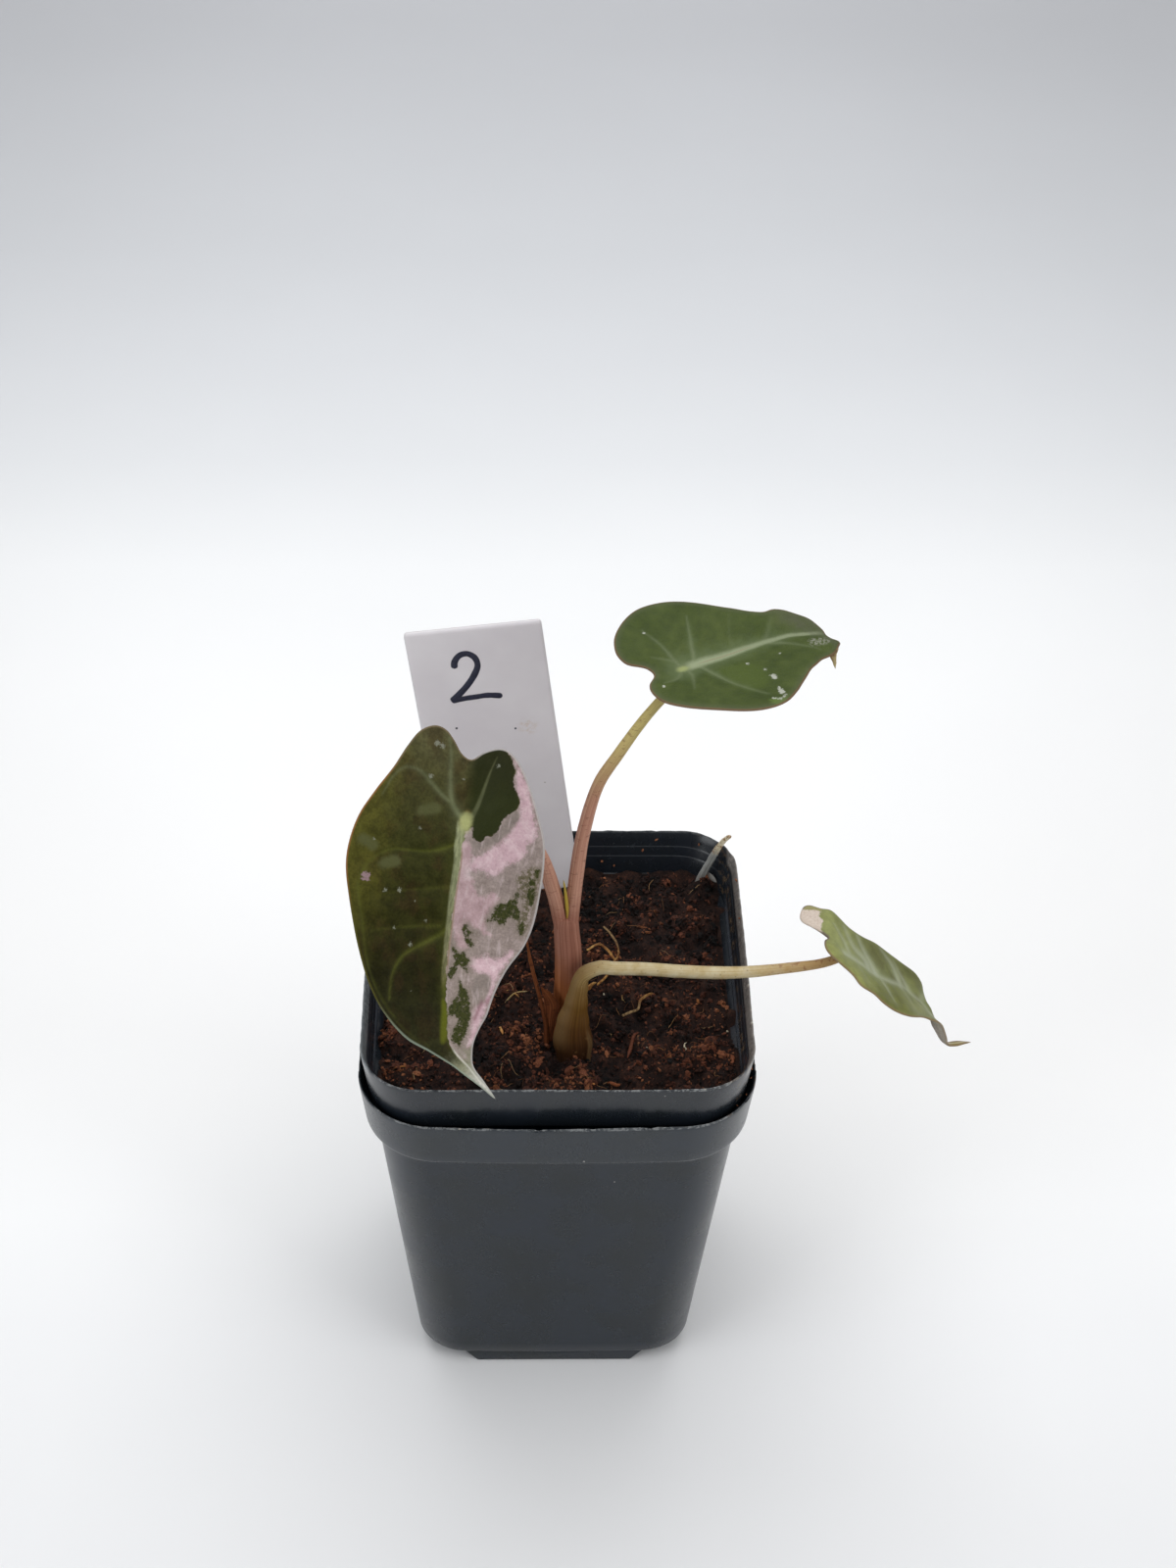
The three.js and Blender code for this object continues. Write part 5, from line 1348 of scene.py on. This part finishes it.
def top_leaf_look():
    look = Look("leaf_top", "flat", specular_ior_level=0.12)
    s, _, _ = look.axes(look.place)
    mid, fine = look.noise(0.55, 4, 0.6), look.noise(2.4, 4, 0.65)
    soft = look.swing(0.45, 4, 0.6)
    green = (look.noise(0.13, 3, 0.6) * 0.6 + mid * 0.4).ramp(
        (0.36, (0.038, 0.057, 0.01)), (0.5, (0.053, 0.075, 0.015)), (0.64, (0.071, 0.095, 0.023)))
    fresh = (look.field("fresh") + soft * 2).step(-1, 1.2)
    green = green.mixed(fresh * 0.7, (0.068, 0.098, 0.016))
    halo = (look.field("halo") + soft * 0.8).step(0.1, 0.9)
    green = green.mixed(halo * 0.6, (0.105, 0.14, 0.06))
    green = green.mixed(look.field("vein") * 0.85, look.mix(fine, (0.135, 0.17, 0.08), (0.21, 0.24, 0.14)))
    off_rib = (look.field("rib") + soft * 0.5) * s.step(2, 24, 0.75, 1.7)
    rib = off_rib.step(0.15, 1.15, 1, 0) * (s.step(0.3, 2) * s.step(29, 24))
    green = green.mixed(rib * 0.85, look.mix(s.step(4, 20), (0.29, 0.33, 0.2), (0.24, 0.275, 0.165)))
    core = look.field("rib").step(0.03, 0.22, 0.55, 0) * (s.step(2, 5) * s.step(15, 11))
    green = green.mixed(core, (0.25, 0.19, 0.12))
    # Painted sheen: a soft greyish patch towards the tip, where the blade catches the light
    dusk = (look.field("purple") + soft * 7).step(-2.8, 3.2)
    green = green.mixed(dusk * s.step(18.5, 25) * 0.7, (0.09, 0.088, 0.064))
    bright = (look.field("bright") + look.swing(1.6, 3, 0.6) * 1.2).step(-0.3, 0.4)
    green = green.mixed(bright * 0.8, (0.11, 0.17, 0.03))
    ragged = look.swing(2.4, 3, 0.7) * 1.3
    fleck = (look.field("fleck") + ragged).step(-0.05, 0.2)
    fleck = fleck.most((look.field("thread") + ragged * 0.75).step(-0.12, 0.12))
    green = green.mixed(fleck * 0.85, (0.46, 0.47, 0.41))
    scuff = (look.field("scuff") + ragged).step(-0.5, 0.4) * look.noise(1.7, 4, 0.7).step(0.44, 0.56)
    green = green.mixed(scuff * 0.6, (0.33, 0.33, 0.28))
    heart = (look.field("joint") + look.swing(0.9, 4, 0.6) * 0.5).step(0.2, 0.95)
    colour = green.mixed(heart * 0.85, (0.3, 0.34, 0.13))
    colour = colour.mixed(look.field("edge").step(0.3, 1.5, 0.35, 0), (0.105, 0.115, 0.065))
    colour = colour.mixed(look.field("edge").step(0.12, 0.42, 0.85, 0), (0.165, 0.1, 0.058))
    return leaf_finish(look, colour, (0.22, 0.18, 0.13), mid)


def right_leaf_look():
    look = Look("leaf_right", "flat", specular_ior_level=0.12)
    s, t, _ = look.axes(look.place)
    mid, fine = look.noise(0.6, 4, 0.6), look.noise(2.4, 4, 0.65)
    tone = look.noise(0.18, 3, 0.6) * 0.6 + mid * 0.4
    bright = look.mix(s.step(1, 9), (0.26, 0.275, 0.09), (0.15, 0.16, 0.042))
    near = bright.mixed(s.step(13, 21), (0.215, 0.225, 0.105))
    far = look.mix(s.step(-4, 7), (0.28, 0.3, 0.115), (0.155, 0.165, 0.055))
    colour = far.mixed(look.field("near"), near).scaled(tone.step(0.34, 0.66, 0.74, 1.2))
    dusk = (look.field("dusk") + look.swing(0.9, 3, 0.6)).step(0.1, 0.8)
    colour = colour.mixed(dusk * 0.75, (0.095, 0.09, 0.026))
    deep = t.step(-3.5, -6.5) * (s.step(3, 8) * look.field("edge").step(0.3, 1.2))
    colour = colour.mixed(deep * 0.6, (0.095, 0.095, 0.03))
    colour = colour.mixed(look.field("halo") * 0.35, (0.29, 0.33, 0.19))
    colour = colour.mixed(look.field("vein") * 0.8, look.mix(fine, (0.35, 0.38, 0.27), (0.45, 0.47, 0.37)))
    strip = (look.field("strip") + look.swing(1.3, 4, 0.65)).step(-0.1, 0.25)
    colour = colour.mixed(strip, (0.32, 0.295, 0.13))
    pink = (look.field("pink") + look.swing(1.3, 4, 0.65) * 1.2).step(-0.12, 0.2)
    colour = colour.mixed(pink, fine.ramp((0.35, (0.58, 0.47, 0.39)), (0.65, (0.72, 0.63, 0.55))))
    grey = look.mix(fine.step(0.35, 0.65), (0.38, 0.31, 0.28), (0.55, 0.5, 0.46))
    lance = look.mix(abs(t).step(0.05, 0.2), (0.42, 0.38, 0.24), (0.2, 0.155, 0.05))
    colour = colour.mixed(look.field("far"), grey.mixed(look.field("tip"), lance))
    rim = look.mix(look.field("near"), (0.17, 0.125, 0.115), (0.24, 0.165, 0.085))
    rim = rim.mixed(look.field("pink").step(-0.6, 0.1), (0.6, 0.5, 0.42))
    colour = colour.mixed(look.field("edge").step(0.12, 0.4, 0.8, 0), rim)
    return leaf_finish(look, colour, (0.28, 0.25, 0.20), mid)


def tip_look():
    look = Look("leaf_top_tip", roughness=0.7, specular_ior_level=0.2)
    look.set(base_color=look.noise(1.6, 3).ramp((0.35, (0.2, 0.12, 0.05)), (0.6, (0.46, 0.37, 0.19))))
    look.relief(look.noise(3, 3), 0.1, 0.8)
    return look


dress(joined("blade_top_tip", stem(TOP_TIP, 28, 50, striated(0.02, 4, 15))), tip_look(), "leaf_top")
dress(leaf_piece("blade_left", LEFT_LEAF, LEFT_VEINS, 352, 74, left_paint), left_leaf_look(), "leaf_left",
      "leaf_left")
dress(leaf_piece("blade_top", TOP_LEAF, TOP_VEINS, 288, 52, top_paint), top_leaf_look(), "leaf_top",
      "leaf_top")
dress(leaf_piece("blade_right", RIGHT_LEAF, RIGHT_VEINS, 248, 48, right_paint), right_leaf_look(),
      "leaf_right", "leaf_right")


# Label

LABEL_CORNER = np.array([-3, 28, 139.4])
LABEL_LEAN = math.radians(7.2)
LABEL_WIDTH, LABEL_HEIGHT, LABEL_HALF = 25, 77, 0.4
DIGIT = [(16.89, 8.6), (16.67, 7.1), (15.59, 5.78), (14.18, 5.54), (12.94, 6.55), (12.62, 8.29),
    (13.45, 10.29), (15.16, 12.67), (17.19, 14.75), (18.5, 15.85)]
DIGIT_FOOT = [(18.5, 15.85), (16.25, 15.5), (13.82, 15.35), (11.68, 15.25), (8.98, 15.7)]


def on_label(u, v, out=0.0):
    """A point of the sheet: u to the left along its top, v down, out towards the front."""
    u, v, out = np.broadcast_arrays(u, v, out)
    c, s = math.cos(LABEL_LEAN), math.sin(LABEL_LEAN)
    return LABEL_CORNER + np.stack([-u * c + v * s, -out, -u * s - v * c], -1)


def label_bow(u, v):
    """How far the sheet bulges, at shares of its width and height."""
    return 0.06 * np.sin(math.pi * u) * np.sin(math.pi * v) + 0.03 * np.sin(5 * v + 2 * u)


def label_sheet():
    columns, rows, radius = 50, 120, 0.6
    u, v = np.meshgrid(np.linspace(0, 1, columns), np.linspace(0, 1, rows))
    x, y = u * LABEL_WIDTH, v * LABEL_HEIGHT
    # Slightly rounded corners
    dx, dy = np.minimum(x, LABEL_WIDTH - x), np.minimum(y, LABEL_HEIGHT - y)
    pull = np.clip(radius - np.hypot(np.minimum(dx - radius, 0), np.minimum(dy - radius, 0)), -radius, 0)
    x = x + pull * np.where(x < LABEL_WIDTH / 2, -1, 1) * 0.7
    y = y + pull * np.where(y < LABEL_HEIGHT / 2, -1, 1) * 0.7
    half = LABEL_HALF - 0.12 * (1 - np.clip(np.minimum(dx, dy) / 0.25, 0, 1)) ** 2
    sides = [on_label(x, y, side * half + label_bow(u, v)).reshape(-1, 3) for side in (1, -1)]
    i, j = np.meshgrid(np.arange(rows - 1), np.arange(columns - 1), indexing="ij")
    a = (i * columns + j).ravel()
    faces = np.stack([a, a + 1, a + columns + 1, a + columns], 1)
    count = columns * rows
    border = np.concatenate([np.arange(columns), np.arange(1, rows) * columns + columns - 1,
                             count - 2 - np.arange(columns - 1), np.arange(rows - 2, 0, -1) * columns])
    after = np.roll(border, -1)
    rim = np.stack([border, border + count, after + count, after], 1)
    return mesh_object("label_sheet", np.vstack(sides), np.vstack([faces, (faces + count)[:, ::-1], rim]),
                       fields={"flat": np.vstack([np.stack([x, y, 0 * x], -1).reshape(-1, 3)] * 2)})


def label_look():
    look = Look("label_plastic", "flat", specular_ior_level=0.4)
    _, down, _ = look.axes(look.place)
    colour = look.noise(0.07, 3, 0.5).ramp((0.35, (0.66, 0.625, 0.65)), (0.65, (0.72, 0.69, 0.71)))
    stain = look.noise(0.9, 4, 0.65)
    near = look.made("VectorMath", "Value", {0: look.place, 1: (5.3, 23.2, 0)}, operation="DISTANCE")
    smear = near.step(0.4, 2.6, 1, 0) * stain.step(0.42, 0.62)
    colour = colour.mixed(smear * 0.45, (0.52, 0.38, 0.26))
    soiled = down.step(60, 68) * look.noise(0.5, 4, 0.7).step(0.4, 0.62)
    colour = colour.mixed(soiled * 0.7, (0.13, 0.075, 0.05))
    colour = colour.mixed(look.specks(0.3, 0.06, 0.25) * 0.55, (0.2, 0.15, 0.12))
    # The sheet is painted up to 18% lighter towards its lower part: painted light where the leaves shade it
    look.set(base_color=colour.scaled(down.step(36, 58, 1, 1.18)),
             roughness=look.noise(0.4, 3, 0.6).step(0.3, 0.7, 0.44, 0.58))
    look.relief(look.noise(1.5, 4, 0.6), 0.04, 0.5)
    return look


def ink_stroke(route, width, rings, seed):
    """A flat pen stroke with round ends, a hair above the sheet."""
    line = even_path(route, rings)
    tangent = unit(np.gradient(line, axis=0))
    normal = np.column_stack([-tangent[:, 1], tangent[:, 0]])
    share = np.linspace(0, 1, rings)
    wobble = 1 + 0.06 * soft_noise(share * 14, share * 0, 1, seed) + 0.05 * np.sin(3 + 5 * share)
    half = width / 2 * wobble
    length = np.linalg.norm(np.diff(line, axis=0), axis=1).sum()
    from_end = np.minimum(share, 1 - share) * length
    half = half * np.sqrt(np.clip(1 - (1 - np.clip(from_end / half, 0, 1)) ** 2, 0.0, 1)) + 0.01
    sheet = LABEL_HALF + label_bow(line[:, 0] / LABEL_WIDTH, line[:, 1] / LABEL_HEIGHT)
    rows = []
    for offset, lift in ((-1, 0.02), (-0.92, 0.045), (0, 0.05), (0.92, 0.045), (1, 0.02), (1, -0.05),
                         (-1, -0.05)):
        x, y = (line + normal * (half * offset)[:, None]).T
        rows.append(on_label(x, y, sheet + lift))
    size = len(rows)
    points = np.stack(rows, 1).reshape(-1, 3)
    quads, tris = loft_faces(rings, size)
    return (np.vstack([points, points[:size].mean(0), points[-size:].mean(0)]), quads[:, ::-1],
            tris[:, ::-1], {})


def dot(u, v, radius):
    sides, base = 14, LABEL_HALF + 0.05
    angle = np.linspace(0, 2 * math.pi, sides, endpoint=False)
    x, y = u + radius * np.cos(angle), v + radius * np.sin(angle)
    points = [on_label(x, y, base - 0.06), on_label(x, y, base + 0.03), on_label(u, v, base - 0.06),
              on_label(u, v, base + 0.05)]
    return np.vstack(points), *loft_faces(2, sides), {}


def ink_look():
    look = Look("ink", roughness=0.45, specular_ior_level=0.5)
    look.set(base_color=look.noise(1.8, 4, 0.6).ramp((0.35, (0.01, 0.011, 0.026)),
                                                     (0.65, (0.02, 0.022, 0.048))))
    look.set(roughness=look.noise(2.5, 2).step(0.3, 0.7, 0.38, 0.52))
    look.relief(look.noise(4, 3), 0.02, 0.5)
    return look


dress(label_sheet(), label_look(), "label_plastic", "plant_label")
dress(joined("label_digit", ink_stroke(DIGIT, 1.2, 90, 51), ink_stroke(DIGIT_FOOT, 1.15, 60, 52),
             dot(18.39, 22.09, 0.22), dot(7.59, 23.43, 0.22)), ink_look(), "label_plastic")


# Fibres on the soil

def fibre(start, heading, length, width):
    count = 6
    points = [np.array(start, float)]
    for _ in range(count - 1):
        heading += random.normal(0, 0.24)
        points.append(points[-1] + length / count * np.array([math.cos(heading), math.sin(heading)]))
    x, y = np.array(points).T
    arch = np.sin(np.linspace(0, math.pi, count))
    z = rough_soil(x, y) + 0.4 + 0.5 * random.random() * arch
    sections = np.column_stack([x, y, z, np.full(count, width), np.full(count, width * 0.8)])
    sections[0, 3:] *= 0.6
    sections[-1, 3:] *= 0.4
    return stem(sections, 6, 16)


def toned(part, tone):
    """A body with one more field, the same all over it."""
    part[-1]["tone"] = np.full(len(part[0]), tone)
    return part


def fibres():
    parts = []
    for x, y in zip(*scatter(FIBRES, 0.3)):
        if in_pot(x, y) >= 3:
            part = fibre((x, y), random.uniform(0, 2 * math.pi), random.uniform(1.4, 4.2),
                         random.uniform(0.06, 0.14))
            parts.append(toned(part, random.random()))
    return joined("soil_fibres", *parts)


def fibre_look():
    look = Look("soil_fibres", roughness=0.75, specular_ior_level=0.3)
    tone = look.field("tone") + look.swing(2, 3) * 0.4
    look.set(base_color=tone.ramp((0.1, (0.03, 0.012, 0.007)), (0.5, (0.1, 0.04, 0.018)),
                                  (0.8, (0.22, 0.1, 0.04)), (0.97, (0.4, 0.26, 0.13))))
    look.relief(look.noise(6, 3), 0.1, 0.8)
    return look


dress(fibres(), fibre_look(), "soil")


# Bright scraps that stand out on the soil: tone, width, then their route
SCRAPS = [
    (0.5, 0.34, [(-29.2, -21.6), (-28.4, -21.2), (-27.2, -20.7)]),
    (0.55, 0.26, [(-28.9, -20.7), (-28.2, -21.9)]),
    (0.95, 0.3, [(23.7, -14.2), (23.2, -15), (23.6, -15.7), (23.3, -16.5)]),
    (0.95, 0.4, [(16.1, -17.8), (16.6, -17.9)]),
    (0.1, 0.7, [(14.9, -12.3), (14.2, -14.4), (13.4, -16.6), (12.7, -18.8)]),
    (0.95, 0.35, [(31.2, -10.8), (31.6, -11.1)]),
    (0.2, 0.8, [(31.5, -19.5), (31.6, -20.6), (31.5, -21.7)]),
    (0.95, 0.34, [(8.8, -1.4), (9, -1.8)]),
    (0.55, 0.14, [(18.2, -17.4), (19.3, -17.2), (20.3, -18), (20.5, -19.1), (19.8, -19.8)]),
    (0.75, 0.16, [(12.3, -1.4), (12.4, -3), (12.9, -4.4)]),
    (0.8, 0.35, [(-9.5, -4), (-7.4, -2.5), (-5.3, -1.3)]),
    (0.7, 0.3, [(-9.8, -1.6), (-8.3, -2.4), (-6.8, -3.4)]),
    (0.65, 0.5, [(-10.2, -12.1), (-10.3, -13.4), (-9.8, -14.7)]),
    (0.4, 0.5, [(26, -3.8), (26.5, -4.6)]),
    (0.45, 0.45, [(-25, -14), (-24, -14.8)]),
    (0.5, 0.4, [(6, -26.4), (7.2, -26.2)]),
    (0.3, 0.8, [(9, -25), (10.4, -25.6), (11.2, -25.3)])]


def scraps():
    parts = []
    for number, (tone, width, route) in enumerate(SCRAPS):
        x, y = path_points(route, 6).T
        z = rough_soil(x, y) + 0.35 + 0.3 * width
        sections = np.column_stack([x, y, z, np.full(6, width), np.full(6, 0.6 * width)])
        sections[[0, -1], 3:] *= 0.45
        parts.append(toned(stem(sections, 10, 24, striated(0.08 * width, 3, 60 + number)), tone))
    return joined("soil_scraps", *parts)


def scrap_look():
    look = Look("soil_scraps", roughness=0.75, specular_ior_level=0.3)
    tone = look.field("tone") + look.swing(2.4, 3) * 0.25
    look.set(base_color=tone.ramp((0.05, (0.1, 0.028, 0.014)), (0.3, (0.24, 0.075, 0.028)),
                                  (0.6, (0.52, 0.22, 0.06)), (0.78, (0.42, 0.29, 0.11)),
                                  (0.98, (0.62, 0.56, 0.42))))
    look.relief(look.noise(6, 3), 0.1, 0.8)
    return look


dress(scraps(), scrap_look(), "soil")


# Floor, lights and camera

def floor_piece():
    """A sheet that runs level under the pot and curves up far behind it."""
    profile = [(-1600, 0), (-400, 0), (0, 0), (300, 0), (520, 0)]
    for angle in np.linspace(0, 80, 14):
        profile.append((620 + 420 * math.sin(math.radians(angle)), 420 * (1 - math.cos(math.radians(angle)))))
    profile.append((1120, 1500))
    profile = np.array(profile, float)
    xs = np.linspace(-2000, 2000, 9)
    points = np.array([(x, y, z - 0.02) for y, z in profile for x in xs])
    i, j = np.meshgrid(np.arange(len(profile) - 1), np.arange(len(xs) - 1), indexing="ij")
    a = (i * len(xs) + j).ravel()
    return mesh_object("floor", points, np.stack([a, a + 1, a + len(xs) + 1, a + len(xs)], 1))


# The floor's colour from front to back, with painted light falloff: lightest just behind the pot, darker
# towards the camera and far behind it: y in mm, then the colour
FLOOR_LIGHT_FALLOFF = [(-69, (0.84, 0.845, 0.855)), (-16, (0.885, 0.89, 0.9)), (13, (0.955, 0.96, 0.965)),
    (50, (0.98, 0.98, 0.98)), (115, (0.98, 0.98, 0.98)), (203, (0.96, 0.965, 0.97)),
    (254, (0.925, 0.935, 0.945)), (311, (0.815, 0.83, 0.85)), (373, (0.745, 0.76, 0.785)),
    (445, (0.685, 0.7, 0.725)), (640, (0.6, 0.61, 0.635))]
FLOOR_START, FLOOR_SPAN = -100, 800
floor = floor_piece()
floor_look = Look("floor", roughness=0.55, specular_ior_level=0.2)
x, y, _ = floor_look.axes(floor_look.place)
cloud = floor_look.noise(0.01, 3)
sheet = y.step(FLOOR_START, FLOOR_START + FLOOR_SPAN,
               kind="LINEAR").ramp(*[((deep - FLOOR_START) / FLOOR_SPAN, tone) for deep, tone in FLOOR_LIGHT_FALLOFF])
# Painted light falloff to the sides too: up to a tenth darker away from the pot, with a faint random cloud
side = abs(x).step(60.0, 260.0, 1.0, 0.9) * cloud.step(0.3, 0.7, 0.985, 1.0)
floor_look.set(base_color=sheet.scaled(side))
floor_look.relief(floor_look.noise(0.4, 3), 0.05, 0.3)
floor.data.materials.append(floor_look.material)

world = bpy.data.worlds.new("studio")
bpy.context.scene.world = world
world.use_nodes = True
colour, strength = world.node_tree.nodes["Background"].inputs[:2]
colour.default_value = (0.93, 0.96, 1.0, 1)
strength.default_value = 0.10


def softbox(name, place, target, size, power, colour=(1, 1, 1)):
    light = bpy.data.lights.new(name, "AREA")
    light.shape = "RECTANGLE"
    light.size, light.size_y = size
    light.energy = power
    light.color = colour
    lamp = link(name, light)
    lamp.location = place
    lamp.rotation_euler = (Vector(target) - Vector(place)).to_track_quat("-Z", "Y").to_euler()


softbox("overhead", (0, 0.15, 0.95), (0, 0.15, 0), (1.2, 0.8), 5.0)
softbox("over_back", (0, 0.65, 0.95), (0, 0.5, 0), (1.2, 0.5), 3.4)
softbox("over_front", (0, -0.55, 0.95), (0, 0, 0), (1.2, 0.5), 2.3)
softbox("left_front", (-0.7, -0.45, 0.4), (0, 0, 0.1), (0.5, 0.7), 3.0, (0.97, 0.985, 1))
softbox("right_front", (0.7, -0.45, 0.4), (0, 0, 0.1), (0.5, 0.7), 2.8)

# The photo's camera: where it stands, how it is turned, its focal length and picture in pixels
CAMERA_AT = (-0.0067, -0.3631, 0.4113)
TILT, YAW, ROLL = math.radians(38.35), math.radians(1.87), math.radians(1.22)
FOCAL, PICTURE_HEIGHT, SENSOR = 2700, 1600, 36
ahead = Vector((math.sin(YAW) * math.cos(TILT), math.cos(YAW) * math.cos(TILT), -math.sin(TILT)))
right = ahead.cross(Vector((0, 0, 1))).normalized()
above = right.cross(ahead)
rolled_right = right * math.cos(ROLL) + above * math.sin(ROLL)
rolled_above = above * math.cos(ROLL) - right * math.sin(ROLL)
camera = link("camera", bpy.data.cameras.new("camera"))
camera.data.sensor_fit = "VERTICAL"
camera.data.sensor_height = SENSOR
camera.data.lens = FOCAL / PICTURE_HEIGHT * SENSOR
camera.data.clip_start = 0.01
turned = Matrix((rolled_right, rolled_above, -ahead)).transposed().to_4x4()
camera.matrix_world = Matrix.Translation(CAMERA_AT) @ turned
bpy.context.scene.camera = camera
bpy.context.scene.view_settings.view_transform = "Standard"
